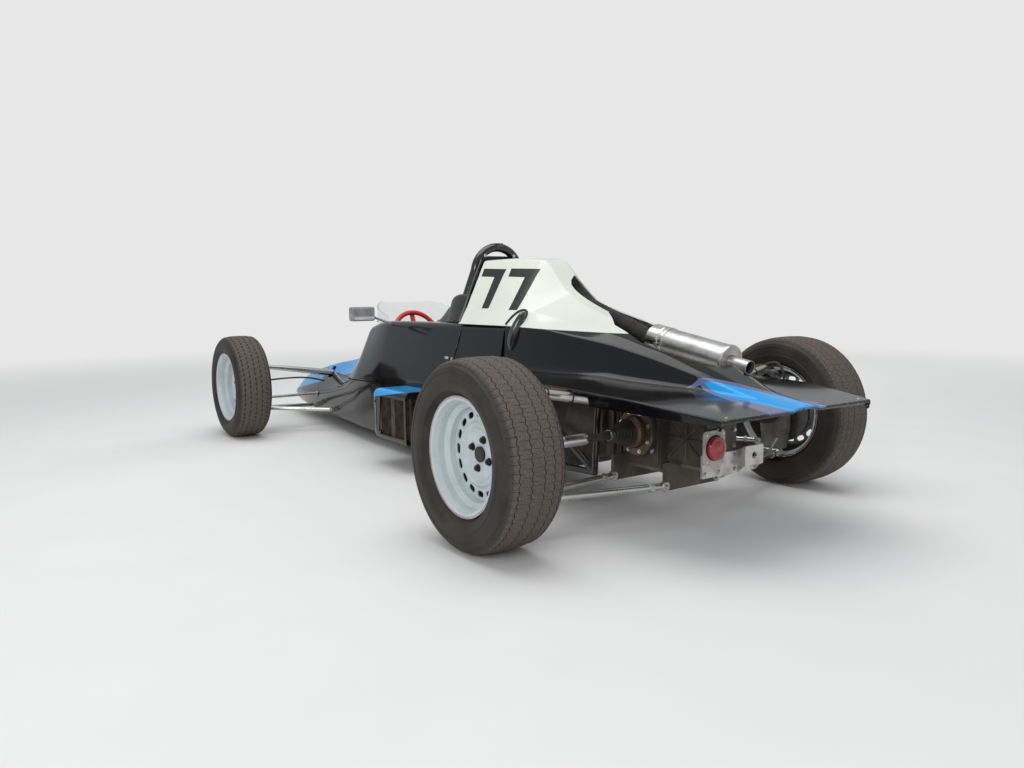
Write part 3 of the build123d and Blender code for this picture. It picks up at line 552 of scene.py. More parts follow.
def make_surround():
    """Cockpit surround: the scuttle, the rim round the opening, holes for the hoop's feet."""
    surface = body_skin(SCUTTLE_Y + SEAM, FIREWALL_Y)
    below = [(SCUTTLE_Y - 0.1, 0.0), (FIREWALL_Y + 0.1, 0.0), (FIREWALL_Y + 0.1, 0.37), (SCUTTLE_Y - 0.1, 0.318)]
    punch(surface, below, (1, 2), lambda c: True)
    front = [(0.212 * math.cos(a), -0.38 + 0.212 * math.sin(a)) for a in (-math.pi * i / 24 for i in range(25))]
    front = [(x, max(y, -0.585)) for x, y in front]
    corner = 0.05
    back = [
        (side * (0.212 - corner + corner * math.cos(a)), 0.165 - corner + corner * math.sin(a))
        for side, sweep in ((-1, range(0, 7)), (1, range(6, -1, -1))) for a in (math.pi / 2 * i / 6 for i in sweep)
    ]
    punch(surface, front + back, (0, 1), lambda c: c.z > 0.33)
    for side in (1, -1):
        foot = [(side * 0.205 + 0.021 * math.cos(math.tau * i / 16), 0.345 + 0.021 * math.sin(math.tau * i / 16)) for i in range(16)]
        punch(surface, foot, (0, 1), lambda c: c.z > 0.5)
    surround = as_piece("cockpit_skin", surface, SKIN)
    surround.data.materials.append(black_gelcoat)
    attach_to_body(surround, "chassis")
    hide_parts("cockpit_surround")


def make_side_panels():
    surface = body_skin(FIREWALL_Y + SEAM, COVER_Y - SEAM)
    trim(surface, (0, 0, 0.112), (0, 0, -1))
    trim(surface, (0, 0, 0.636), (0, 0, 1))
    gone = [f for f in surface.faces if abs(f.calc_center_median().x) < 0.234]
    bmesh.ops.delete(surface, geom=gone, context="FACES")
    panels = as_piece("side_skin", surface, SKIN)
    panels.data.materials.append(black_gelcoat)
    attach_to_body(panels, "chassis")
    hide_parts("side_panels")


make_nose()
make_tub()
make_surround()
make_side_panels()

# Tail moulding: engine cover and flat rear deck in one, white above the belt line, black
# below, with a blue stripe that starts in flame tips. It lifts off on two clips and pins.
TAIL_STATIONS = [
    # y, deck edge x, z, lip depth, root x, z, side x, z, mid x, z, top x, z
    (0.365, 0.318, 0.430, 0.022, 0.285, 0.470, 0.268, 0.640, 0.215, 0.705, 0.095, 0.903),
    (0.560, 0.316, 0.434, 0.022, 0.283, 0.474, 0.266, 0.640, 0.215, 0.705, 0.084, 0.905),
    (0.740, 0.314, 0.440, 0.020, 0.280, 0.478, 0.262, 0.640, 0.210, 0.705, 0.056, 0.896),
    (0.890, 0.322, 0.446, 0.018, 0.272, 0.482, 0.254, 0.638, 0.192, 0.690, 0.046, 0.772),
    (1.070, 0.368, 0.456, 0.014, 0.255, 0.484, 0.236, 0.622, 0.172, 0.658, 0.072, 0.703),
    (1.270, 0.400, 0.462, 0.008, 0.222, 0.484, 0.200, 0.594, 0.152, 0.624, 0.074, 0.650),
    (1.425, 0.402, 0.458, 0.008, 0.186, 0.474, 0.168, 0.560, 0.132, 0.582, 0.072, 0.600),
    (1.440, 0.402, 0.457, 0.042, 0.182, 0.473, 0.165, 0.556, 0.130, 0.578, 0.072, 0.596),
    (1.620, 0.400, 0.452, 0.038, 0.130, 0.464, 0.116, 0.504, 0.092, 0.514, 0.058, 0.524),
    (1.790, 0.377, 0.437, 0.028, 0.075, 0.444, 0.062, 0.452, 0.044, 0.457, 0.026, 0.460),
    (1.945, 0.342, 0.420, 0.015, 0.060, 0.427, 0.046, 0.431, 0.032, 0.433, 0.018, 0.434),
]
TAIL_Y, TAIL_CORNER = 1.94, (0.35, 1.917)
BELT_Z = 0.638
SLOT = [
    (-0.27, 1.26), (-0.15, 1.12), (-0.15, 0.86), (-0.143, 0.842), (-0.122, 0.826), (-0.095, 0.820), (-0.067, 0.820),
    (-0.04, 0.826), (-0.014, 0.842), (0.0, 0.86), (0.022, 1.10), (0.104, 1.225), (0.126, 1.38), (0.114, 1.49),
    (0.090, 1.575), (0.04, 1.612), (-0.27, 1.6),
]
SILENCER_FRONT, SILENCER_REAR = Vector((-0.1, 1.217, 0.593)), Vector((-0.1, 1.569, 0.532))
TAILPIPE_END = Vector((-0.1, 1.648, 0.5183))


def tail_section(y):
    edge, edge_z, lip, root, root_z, side, side_z, mid, mid_z, top, top_z = eased(TAIL_STATIONS, y)
    crown = 0.030 if y < 0.8 else 0.022
    half = [
        (edge, edge_z - lip, 0), (edge, edge_z, 0.008), (root, root_z, 0.045), (side, side_z, 0.02),
        (mid, mid_z, 0.05), (top, top_z, crown),
    ]
    corners = half + [(-x, z, r) for x, z, r in reversed(half)]
    points = rounded(corners, (3, 14, 10, 6, 10, 12, 10, 6, 10, 14, 3), closed=False, arc_steps=6)
    return [Vector((p.x, y, p.y)) for p in points]


def trough(surface, start, end, radius):
    """Opens a surface where a round bar from start to end would touch it."""
    along = (end - start).normalized()
    reach = (end - start).length
    gone = []
    for face in surface.faces:
        offset = face.calc_center_median() - start
        run = offset.dot(along)
        if 0 < run < reach and (offset - along * run).length < radius:
            gone.append(face)
    bmesh.ops.delete(surface, geom=gone, context="FACES")


def tail_paint(tree, x, y, z):
    """White cover, black flanks and deck, blue stripe between violet bands, chipped edge."""
    drop = calc(tree, "MULTIPLY", calc(tree, "MAXIMUM", calc(tree, "SUBTRACT", y, 0.8), 0.0), 0.03)
    belt = calc(tree, "SUBTRACT", calc(tree, "ADD", z, drop), 0.640)
    white = calc(tree, "ADD", calc(tree, "DIVIDE", belt, 0.0014), 0.5, clamp=True)
    stain = effect(tree, "patches", Scale=4.0, Low=0.4, High=0.8)
    cream = tint(tree, stain, WHITE, (0.66, 0.69, 0.61, 1))
    colour = tint(tree, white, black_paint(tree, x, y, z), cream)
    low_edge = line_mask(tree, x, y, (0.113, 1.645), (0.080, 1.940))
    high_edge = line_mask(tree, x, y, (-0.095, 1.940), (0.095, 1.670))
    blue = calc(tree, "MULTIPLY", low_edge, high_edge)
    band_high = line_mask(tree, x, y, (-0.105, 1.885), (0.138, 1.600))
    outside_high = calc(tree, "SUBTRACT", 1.0, high_edge)
    ends = calc(tree, "LESS_THAN", calc(tree, "SUBTRACT", y, calc(tree, "MULTIPLY", x, 0.3)), 1.93)
    upper_band = calc(tree, "MULTIPLY", calc(tree, "MULTIPLY", band_high, outside_high), ends)
    band_low = line_mask(tree, x, y, (0.112, 1.590), (0.168, 1.940))
    lower_band = calc(tree, "MULTIPLY", band_low, calc(tree, "SUBTRACT", 1.0, low_edge))
    behind_tip = calc(tree, "GREATER_THAN", y, 1.60)
    bands = calc(tree, "MULTIPLY", calc(tree, "MAXIMUM", upper_band, lower_band), behind_tip)
    colour = tint(tree, bands, colour, VIOLET)
    colour = tint(tree, calc(tree, "MULTIPLY", blue, behind_tip), colour, BLUE)
    slant = (TAIL_Y - TAIL_CORNER[1]) / TAIL_CORNER[0]
    swept = calc(tree, "ADD", y, calc(tree, "MULTIPLY", calc(tree, "ABSOLUTE", x), slant))
    near_edge = calc(tree, "GREATER_THAN", swept, TAIL_Y - 0.003)
    chips = effect(tree, "patches", Scale=90.0, Low=0.56, High=0.62)
    return tint(tree, calc(tree, "MULTIPLY", near_edge, chips), colour, (0.15, 0.15, 0.145, 1))


def make_tail():
    count = 150
    ys = [0.365 + (1.945 - 0.365) * i / count for i in range(count + 1)]
    surface = grid([tail_section(y) for y in ys], closed=False)
    ahead = [(0.2, 0.0), (COVER_Y, 0.0), (COVER_Y, BELT_Z), (0.2, BELT_Z)]
    punch(surface, ahead, (1, 2), lambda c: True)
    trim(surface, (0, 0.455, 0.600), Vector((0, -0.400, -0.087)).normalized())
    for side in (1, -1):
        outward = Vector((side * (TAIL_Y - TAIL_CORNER[1]), TAIL_CORNER[0], 0)).normalized()
        trim(surface, (0, TAIL_Y, 0), outward)
    punch(surface, SLOT, (0, 1), lambda c: c.z > 0.492)
    trough(surface, SILENCER_FRONT.lerp(SILENCER_REAR, 0.5), SILENCER_REAR, 0.064)
    trough(surface, SILENCER_REAR, SILENCER_REAR + (TAILPIPE_END - SILENCER_REAR) * 2.6, 0.039)
    tail = as_piece("tail_skin", surface, SKIN)
    tail.data.materials.append(gelcoat("white_black_blue_gelcoat", tail_paint))
    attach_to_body(tail, "chassis")
    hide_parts("tail_moulding")
    return tail


tail_piece = make_tail()


def make_deck_bead():
    """Rolled bead along the deck's rear edge, rubbed through in places."""
    bead = finish("rolled_deck_edge", (0.005, 0.005, 0.006), (0.22, 0.22, 0.21), 0.25, 0.6, dust=0.1,
                  scale=70.0, low=0.60, high=0.66)
    flat = [p for p in tail_section(1.930) if p.z > 0.405]
    rows = []
    for p in flat:
        y = TAIL_Y - 0.009 - (TAIL_Y - TAIL_CORNER[1]) * abs(p.x) / TAIL_CORNER[0]
        rows.append([
            Vector((p.x, y + 0.008 * math.cos(a), p.z - 0.0065 + 0.0065 * math.sin(a)))
            for a in (math.tau * j / 12 for j in range(12))
        ])
    piece = as_piece("deck_bead", grid(rows, closed=True), sharp=60)
    piece.data.materials.append(bead)
    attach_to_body(piece, "chassis")


make_deck_bead()

# Race numbers: plain straight-stroke numerals cut from black vinyl, one pair on each side of
# the cover, laid on its curve.
NUMERAL = [(0, 0.164), (0.160, 0.158), (0.160, 0.136), (0.180, 0), (0.131, 0), (0.106, 0.127), (0.008, 0.131)]
NUMERAL_FEET = [(0.417, 0.703), (0.606, 0.699)]
VINYL = 0.0005


def make_numbers():
    graph = bpy.context.evaluated_depsgraph_get()
    tree = BVHTree.FromObject(tail_piece, graph)
    material, shading, shader = new_material("black_vinyl")
    place = node(shading, "TexCoord").outputs["Object"]
    fade = effect(shading, "patches", Scale=30.0, Low=0.45, High=0.75)
    shading.links.new(tint(shading, fade, (0.006, 0.006, 0.006, 1), (0.014, 0.014, 0.014, 1)), shader.inputs["Base Color"])
    shading.links.new(calc(shading, "ADD", calc(shading, "MULTIPLY", fade, 0.15), 0.32), shader.inputs["Roughness"])
    bumped(shading, shader, node(shading, "TexNoise", {"Vector": place, "Scale": 55.0}).outputs[0], 0.1, 0.001)
    for name, side in (("left", 1), ("right", -1)):
        surface = bmesh.new()
        for y0, z0 in NUMERAL_FEET:
            face = surface.faces.new([surface.verts.new((0, y0 + y, z0 + z)) for y, z in NUMERAL])
            face.normal_update()
        for axis in (1, 2):
            low = min(v.co[axis] for v in surface.verts)
            high = max(v.co[axis] for v in surface.verts)
            cut = low + 0.012
            while cut < high:
                point, across = Vector((0, 0, 0)), Vector((0, 0, 0))
                point[axis], across[axis] = cut, 1
                everything = surface.verts[:] + surface.edges[:] + surface.faces[:]
                bmesh.ops.bisect_plane(surface, geom=everything, plane_co=point, plane_no=across)
                cut += 0.012
        for vert in surface.verts:
            hit, normal, _, _ = tree.ray_cast(Vector((side * 0.5, vert.co.y, vert.co.z)), Vector((-side, 0, 0)))
            vert.co = hit + normal * VINYL
        bmesh.ops.recalc_face_normals(surface, faces=surface.faces)
        number = as_piece("race_number_" + name, surface, normal_out=False)
        if number.data.polygons[0].normal.x * side < 0:
            number.data.flip_normals()
        number.data.materials.append(material)
        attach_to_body(number, "chassis")


make_numbers()

# Wheels: pressed steel, pale blue-grey paint, a bare outer lip with two thin dark red lines,
# sixteen slots pressed through the centre, four nuts, and a plain brake disc behind.
CORNERS = {
    # name: (centre, tyre radius, tyre width, half rim width, body, side)
    "front_left": (Vector((0.700, -1.130, 0.272)), 0.272, 0.186, 0.082, "front_left", 1),
    "front_right": (Vector((-0.700, -1.130, 0.272)), 0.272, 0.186, 0.082, "front_right", -1),
    "rear_left": (Vector((0.732, 1.340, 0.291)), 0.291, 0.214, 0.084, "rear_left", 1),
    "rear_right": (Vector((-0.732, 1.340, 0.291)), 0.291, 0.214, 0.084, "rear_right", -1),
}
BEAD_R = 0.1655
FLANGE_R = 0.183
SLOTS = 16
SLOT_CIRCLE_R = 0.121
SLOT_HALF = 0.0165
SLOT_END_R = 0.0095
STUDS = 4
STUD_CIRCLE_R = 0.0476


def lathe(profile, columns, closed=True, start=0.0):
    """Surface of (x, r) points turned about the X axis through the origin."""
    rows = []
    for i in range(columns):
        a = start + math.tau * i / columns
        rows.append([Vector((x, r * math.sin(a), r * math.cos(a))) for x, r in profile])
    surface = bmesh.new()
    made = [[surface.verts.new(p) for p in row] for row in rows]
    width = len(profile)
    for i in range(columns):
        low, high = made[i], made[(i + 1) % columns]
        for j in range(width if closed else width - 1):
            k = (j + 1) % width
            surface.faces.new((low[j], high[j], high[k], low[k]))
    bmesh.ops.remove_doubles(surface, verts=surface.verts, dist=1e-6)
    return surface


def soften(profile, radius, steps=3):
    """Rounds the corners of a closed (x, r) profile."""
    corners = [(x, r, radius) for x, r in profile]
    return [(p.x, p.y) for p in rounded(corners, [1] * len(corners), closed=True, arc_steps=steps)]


def attach(piece, corner, material):
    """Puts a wheel piece made about the origin on its corner of the car."""
    centre, _, _, _, body, side = CORNERS[corner]
    if side < 0:
        piece.data.transform(Matrix.Scale(-1, 4, (1, 0, 0)))
        piece.data.flip_normals()
    piece.data.transform(Matrix.Translation(centre))
    radial = piece.data.attributes.new("from_axle", "FLOAT", "POINT")
    for i, vert in enumerate(piece.data.vertices):
        away = vert.co - centre
        radial.data[i].value = math.hypot(away.y, away.z)
    piece.data.materials.append(material)
    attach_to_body(piece, body)
    return piece


def make_rim_paint():
    """Chipped pale enamel; the lip beyond 172 mm is bare bright steel with two red lines."""
    material, tree, shader = new_material("pale_wheel_enamel")
    radius = node(tree, "Attribute", attribute_name="from_axle").outputs["Fac"]
    place = node(tree, "TexCoord").outputs["Object"]
    soot = effect(tree, "patches", Scale=16.0, Low=0.42, High=0.75)
    chips = effect(tree, "patches", Scale=90.0, Low=0.66, High=0.70)
    paint = tint(tree, calc(tree, "MULTIPLY", soot, 0.45), (0.56, 0.64, 0.66, 1), (0.38, 0.41, 0.40, 1))
    paint = tint(tree, calc(tree, "MULTIPLY", chips, 0.8), paint, (0.17, 0.13, 0.10, 1))
    lip = node(tree, "MapRange", {0: radius, 1: 0.1738, 2: 0.1744}).outputs[0]
    lines = 0.0
    for inner in (0.1752, 0.1786):
        after = calc(tree, "GREATER_THAN", radius, inner)
        before = calc(tree, "LESS_THAN", radius, inner + 0.0015)
        lines = calc(tree, "ADD", lines, calc(tree, "MULTIPLY", after, before), clamp=True)
    colour = tint(tree, lip, paint, (0.72, 0.73, 0.72, 1))
    tree.links.new(tint(tree, lines, colour, (0.16, 0.012, 0.012, 1)), shader.inputs["Base Color"])
    bare = calc(tree, "MULTIPLY", lip, calc(tree, "SUBTRACT", 1.0, lines))
    tree.links.new(bare, shader.inputs["Metallic"])
    rough = calc(tree, "ADD", calc(tree, "MULTIPLY", soot, 0.22), 0.28)
    tree.links.new(calc(tree, "SUBTRACT", rough, calc(tree, "MULTIPLY", bare, 0.08)), shader.inputs["Roughness"])
    bumped(tree, shader, node(tree, "TexNoise", {"Vector": place, "Scale": 160.0, "Detail": 4.0}).outputs[0], 0.12, 0.0006)
    return material


def make_disc_surface():
    """Slotted wheel centre as an open surface: dished, with a raised ring round the nuts."""
    profile = [
        (0.008, 0.020), (0.008, 0.034), (0.008, 0.062), (0.0085, 0.070), (0.011, 0.0755), (0.0165, 0.081),
        (0.0205, 0.0855), (0.0220, 0.0895), (0.0216, 0.0935), (0.0180, 0.0975), (0.0140, 0.1010),
        (0.0128, 0.105), (0.0125, 0.110), (0.0125, 0.116), (0.0125, 0.122), (0.0125, 0.128), (0.0125, 0.134),
        (0.0120, 0.139), (0.0105, 0.1445),
    ]
    surface = lathe(profile, 192, closed=False)
    for i in range(SLOTS):
        turn = math.tau * i / SLOTS
        outline = []
        for end in (1, -1):
            for j in range(9):
                a = (0 if end > 0 else math.pi) - math.pi / 2 + math.pi * j / 8
                across = end * (SLOT_HALF - SLOT_END_R) + SLOT_END_R * math.cos(a)
                out = SLOT_CIRCLE_R + SLOT_END_R * math.sin(a)
                outline.append((
                    out * math.sin(turn) + across * math.cos(turn), out * math.cos(turn) - across * math.sin(turn),
                ))
        punch(surface, outline, (1, 2), lambda c: True)
    return surface


def make_wheels():
    paint = make_rim_paint()
    iron = finish("black_hub_iron", (0.03, 0.03, 0.03), (0.11, 0.075, 0.05), 0.5, 0.8, metal=0.5, dust=0.5, scale=40.0)
    nut_zinc = finish("black_wheel_nut", (0.035, 0.034, 0.033), (0.10, 0.075, 0.055), 0.35, 0.6, metal=0.9, dust=0.4, scale=70.0)
    # Dark finish for the inside of the barrel: brake dust together with painted shade, so the slots read dark.
    brake_dust_and_painted_shade = finish("brake_dust_and_painted_shade_on_rim", (0.030, 0.026, 0.022), (0.07, 0.055, 0.042), 0.7, 0.85, scale=30.0)
    disc_steel = finish("brake_disc_steel", (0.42, 0.41, 0.40), (0.24, 0.19, 0.15), 0.32, 0.5, metal=0.95, scale=25.0)
    pressed = as_piece("wheel_centre_pattern", make_disc_surface(), 0.0035, sharp=38)
    centre_mesh = pressed.data
    for corner, (centre, tyre_r, width, half_rim, body, side) in CORNERS.items():
        end, name = corner.split("_")
        lip, seat = half_rim, half_rim - 0.012
        barrel = soften([
            (lip - 0.0005, FLANGE_R - 0.001), (lip - 0.0045, FLANGE_R), (lip - 0.008, 0.1705), (seat - 0.006, BEAD_R),
            (0.046, BEAD_R), (0.030, 0.1475), (-0.030, 0.1475), (-0.046, BEAD_R), (-(seat - 0.006), BEAD_R),
            (-(lip - 0.008), 0.1705), (-(lip - 0.0045), FLANGE_R), (-lip + 0.0005, FLANGE_R - 0.001),
            (-(lip - 0.0035), 0.1675), (-(seat - 0.010), 0.1605), (-0.042, 0.1585), (-0.030, 0.1435),
            (0.0100, 0.1435), (0.030, 0.1435), (0.042, 0.1585), (seat - 0.010, 0.1605), (lip - 0.0035, 0.1675),
        ], 0.0022)
        rim = as_piece(f"rim_{corner}", lathe(barrel, 144), sharp=40)
        # Barrel faces inboard of the wheel centre get the dark finish: brake dust and painted shade inside the wheel.
        behind = [
            face.center.x < 0.0098 and math.hypot(face.center.y, face.center.z) < 0.1615
            for face in rim.data.polygons
        ]
        attach(rim, corner, paint)
        rim.data.materials.append(brake_dust_and_painted_shade)
        rim.data.polygons.foreach_set("material_index", [int(shaded_and_dusty) for shaded_and_dusty in behind])
        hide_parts(f"{end}_wheel_{name}")
        centre_piece = bpy.data.objects.new(f"wheel_centre_{corner}", centre_mesh.copy())
        bpy.context.collection.objects.link(centre_piece)
        normals = centre_piece.modifiers.new("normals", "WEIGHTED_NORMAL")
        normals.keep_sharp = True
        attach(centre_piece, corner, paint)
        inner = -0.062 if end == "front" else -0.122
        hub_profile = soften([
            (0.0175, 0.0005), (0.0175, 0.0215), (0.0155, 0.0238), (0.0045, 0.024), (0.0045, 0.0615), (-0.008, 0.0615),
            (-0.008, 0.034), (inner, 0.034), (inner, 0.0005),
        ], 0.0004, 1)
        hub = as_piece(f"hub_{corner}", lathe(hub_profile, 48), sharp=35)
        attach(hub, corner, iron)
        nuts = bmesh.new()
        for i in range(STUDS):
            a = math.tau * i / STUDS + 0.35
            at = Vector((0, STUD_CIRCLE_R * math.sin(a), STUD_CIRCLE_R * math.cos(a)))
            for sides, radius, low, high in ((6, 0.0105, 0.0085, 0.0175), (24, 0.0125, 0.0078, 0.0095), (16, 0.006, 0.016, 0.0208)):
                made = bmesh.ops.create_cone(
                    nuts, cap_ends=True, segments=sides, radius1=radius, radius2=radius * (0.92 if sides < 24 else 1),
                    depth=high - low, matrix=Matrix.Translation(at + Vector(((low + high) / 2, 0, 0))) @ Matrix.Rotation(math.pi / 2, 4, "Y"),
                )
        attach(as_piece(f"wheel_nuts_{corner}", nuts, sharp=30), corner, nut_zinc)
        disc_x = -0.048 if end == "front" else -0.046
        groove = [(disc_x + 0.005, 0.118 - 0.006 * k) for k in range(8)]
        faces = [(disc_x + 0.005, 0.121), *groove, (disc_x + 0.005, 0.034), (disc_x - 0.005, 0.034), (disc_x - 0.005, 0.121)]
        disc = as_piece(f"brake_disc_{corner}", lathe(faces, 96), sharp=35)
        attach(disc, corner, disc_steel)
    bpy.data.objects.remove(pressed)


make_wheels()

# Tyres: worn bias-ply road pattern. Zigzag grooves run round the tread, the shoulder ribs are
# cut into blocks, the middle ribs carry short hooked sipes, and the walls are rubbed brown.
TREADS = {
    # end: (groove places outward from the middle, groove half-width, depth, pitches, zigzag)
    "rear": ((0.070, 0.030, -0.012, -0.046, -0.074), 0.0017, 0.0042, 72, 0.0030),
    "front": ((0.058, 0.030, 0.0, -0.030, -0.058), 0.0021, 0.0050, 64, 0.0036),
}
PITCH_COLUMNS = [
    # share of the pitch, what is cut there
    (0.0, None), (0.035, None), (0.065, "block"), (0.095, None), (0.28, None),
    (0.5, None), (0.54, None), (0.565, "sipe"), (0.59, None), (0.78, None),
]


def tyre_profile(radius, width, half_rim):
    half = [
        (half_rim - 0.018, BEAD_R), (half_rim - 0.0095, BEAD_R + 0.006), (half_rim - 0.0055, BEAD_R + 0.019),
        (width / 2 - 0.004, BEAD_R + 0.034), (width / 2, BEAD_R + 0.054), (width / 2 - 0.003, radius - 0.036),
        (width * 0.42, radius - 0.013), (width * 0.36, radius - 0.005), (width * 0.2, radius - 0.0008), (0, radius),
    ]
    return half


def tread_radius(x, half):
    """Height of the tread's crown at x from the wheel's middle."""
    x = abs(x)
    points = half[::-1]
    for (x0, r0), (x1, r1) in zip(points[:-1], points[1:]):
        if x0 <= x <= x1:
            t = (x - x0) / (x1 - x0)
            return r0 + (r1 - r0) * t * t * (3 - 2 * t) if x0 > 0 else r0 + (r1 - r0) * t * t
    return points[-1][1]


def tread_rows(grooves, half_width, edge):
    """Rows across the tread: (x, groove index or None, is bottom, rib place 0..1, rib index)."""
    rows = []
    marks = [edge] + list(grooves) + [-edge]
    for rib, (high, low) in enumerate(zip(marks[:-1], marks[1:])):
        start = high - (half_width if rib else 0)
        stop = low + (half_width if rib < len(grooves) else 0)
        for share in (0.0, 0.14, 0.38, 0.62, 0.86, 1.0):
            rows.append((start + (stop - start) * share, False, share, rib))
        if rib < len(grooves):
            rows.append((low + half_width * 0.45, True, 0.0, rib))
            rows.append((low - half_width * 0.45, True, 0.0, rib))
    return rows


def make_tyre_rubber():
    material, tree, shader = new_material("tyre_rubber")
    worn = node(tree, "Attribute", attribute_name="worn").outputs["Fac"]
    place = node(tree, "TexCoord").outputs["Object"]
    brown = effect(tree, "patches", Scale=11.0, Low=0.36, High=0.72)
    wall = tint(tree, calc(tree, "MULTIPLY", brown, 0.8), (0.016, 0.0155, 0.015, 1), (0.052, 0.043, 0.036, 1))
    grit = effect(tree, "patches", Scale=260.0, Low=0.45, High=0.62)
    tread = tint(tree, grit, (0.088, 0.074, 0.064, 1), (0.145, 0.122, 0.104, 1))
    tree.links.new(tint(tree, worn, wall, tread), shader.inputs["Base Color"])
    rough = calc(tree, "ADD", calc(tree, "MULTIPLY", worn, 0.34), 0.52)
    tree.links.new(calc(tree, "ADD", rough, calc(tree, "MULTIPLY", brown, 0.08), clamp=True), shader.inputs["Roughness"])
    fine = node(tree, "TexNoise", {"Vector": place, "Scale": 420.0, "Detail": 5.0, "Roughness": 0.7}).outputs[0]
    bumped(tree, shader, fine, 0.35, 0.0012)
    shader.inputs["Specular IOR Level"].default_value = 0.35
    return material


def make_tyres():
    rubber = make_tyre_rubber()
    for corner, (centre, radius, width, half_rim, body, side) in CORNERS.items():
        end, name = corner.split("_")
        grooves, half_width, depth, pitches, swing = TREADS[end]
        half = tyre_profile(radius, width, half_rim)
        edge = width * 0.42
        wall = [
            half[0], half[1], ((half[1][0] + half[2][0]) / 2 + 0.0004, (half[1][1] + half[2][1]) / 2), half[2],
            (half[2][0] + 0.006, half[2][1] + 0.006), (half[3][0] - 0.003, half[3][1] - 0.003),
            (half[3][0] + 0.001, half[3][1] + 0.006), (half[4][0] - 0.0012, half[4][1] - 0.006),
            (half[4][0], half[4][1]), (half[4][0] - 0.0002, half[4][1] + 0.005), (half[4][0] - 0.0014, half[4][1] + 0.006),
            (half[4][0] - 0.0018, (half[4][1] + half[5][1]) / 2), (half[5][0] - 0.0008, half[5][1] - 0.004),
            (half[5][0] + 0.0004, half[5][1] - 0.003), (half[5][0] - 0.0002, half[5][1] + 0.003),
            (half[5][0] - 0.0035, half[5][1] + 0.012), (half[6][0] + 0.0035, half[6][1] - 0.006),
        ]
        rows = [(x, r, None) for x, r in wall]
        rows += [(x, None, (bottom, share, rib)) for x, bottom, share, rib in tread_rows(grooves, half_width, edge)]
        rows += [(-x, r, None) for x, r in reversed(wall)]
        surface = bmesh.new()
        worn_layer = surface.verts.layers.float.new("worn")
        last_rib = len(grooves)
        rings = []
        for i in range(pitches):
            for share, cut in PITCH_COLUMNS:
                angle = math.tau * (i + share) / pitches
                zig = abs(2 * ((share + 0.25) % 1.0) - 1) * 2 - 1
                ring = []
                for x, r, tread in rows:
                    worn = 0.0
                    if tread:
                        bottom, across, rib = tread
                        fade = min(1.0, max(0.0, (edge - abs(x)) / 0.012))
                        flip = -1 if (end == "front" and rib % 2) else 1
                        x += swing * zig * fade * (flip if (bottom or across in (0.0, 1.0)) else 0.6)
                        r = tread_radius(x, half)
                        worn = 0.25 if abs(x) > edge - 0.006 else 1.0
                        shoulder = rib in (0, last_rib)
                        if bottom:
                            r, worn = r - depth, 0.0
                        elif cut == "block" and shoulder:
                            r, worn = r - depth * 0.8, 0.0
                        elif cut == "sipe" and not shoulder and across in (0.38, 0.62, 0.86)[: 2 + rib % 2]:
                            r, worn = r - depth * 0.55, 0.1
                        elif cut == "block" and not shoulder and across == 0.14:
                            r, worn = r - depth * 0.5, 0.1
                        if across == 0.86 and cut is None and share in (0.54, 0.59):
                            worn *= 0.8
                    vert = surface.verts.new((x, r * math.sin(angle), r * math.cos(angle)))
                    vert[worn_layer] = worn
                    ring.append(vert)
                rings.append(ring)
        for low, high in zip(rings, rings[1:] + rings[:1]):
            for j in range(len(rows) - 1):
                surface.faces.new((low[j], high[j], high[j + 1], low[j + 1]))
        tyre = as_piece(f"tyre_{corner}", surface, sharp=32)
        tyre.modifiers.clear()
        attach(tyre, corner, rubber)
        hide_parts(f"{end}_tyre_{name}")


make_tyres()

# Roll hoop and head fairing: one bent black tube with a small bracket on its crown, a moulded
# black wedge up its front, and a gloss tube trim down the cover's front edge.


def tube(name, points, radius, material, body="chassis", sides=14, smooth=True):
    """A bar or hose along points, as a closed mesh."""
    curve = bpy.data.curves.new(name, "CURVE")
    curve.dimensions = "3D"
    curve.bevel_depth = radius
    curve.bevel_resolution = max(1, sides // 4)
    curve.use_fill_caps = True
    curve.resolution_u = 8
    spline = curve.splines.new("NURBS" if smooth and len(points) > 2 else "POLY")
    spline.points.add(len(points) - 1)
    for point, place in zip(spline.points, points):
        point.co = (*place, 1)
    if smooth and len(points) > 2:
        spline.order_u = 3
        spline.use_endpoint_u = True
    holder = bpy.data.objects.new(name + "_line", curve)
    bpy.context.collection.objects.link(holder)
    graph = bpy.context.evaluated_depsgraph_get()
    mesh = bpy.data.meshes.new_from_object(holder.evaluated_get(graph))
    bpy.data.objects.remove(holder)
    piece = bpy.data.objects.new(name, mesh)
    bpy.context.collection.objects.link(piece)
    mesh.polygons.foreach_set("use_smooth", [True] * len(mesh.polygons))
    mesh.set_sharp_from_angle(angle=math.radians(40))
    mesh.materials.clear()
    mesh.materials.append(material)
    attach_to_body(piece, body)
    return piece


def turned_piece(name, start, end, profile, material, body="chassis", columns=48, sharp=35):
    """A turned part on the line from start to end; profile is closed (distance along, radius)."""
    surface = lathe(profile, columns)
    along = (Vector(end) - Vector(start)).normalized()
    turn = Vector((1, 0, 0)).rotation_difference(along).to_matrix().to_4x4()
    surface.transform(Matrix.Translation(Vector(start)) @ turn)
    piece = as_piece(name, surface, sharp=sharp)
    piece.data.materials.append(material)
    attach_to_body(piece, body)
    return piece


def cast_block(name, low, high, material, body="chassis", bevel=0.004, holes=()):
    """A machined or cast block with eased edges."""
    surface = bmesh.new()
    bmesh.ops.create_cube(surface, size=1)
    for vert in surface.verts:
        for axis in range(3):
            vert.co[axis] = low[axis] if vert.co[axis] < 0 else high[axis]
    piece = as_piece(name, surface, bevel=bevel, sharp=40)
    piece.data.materials.append(material)
    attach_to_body(piece, body)
    return piece


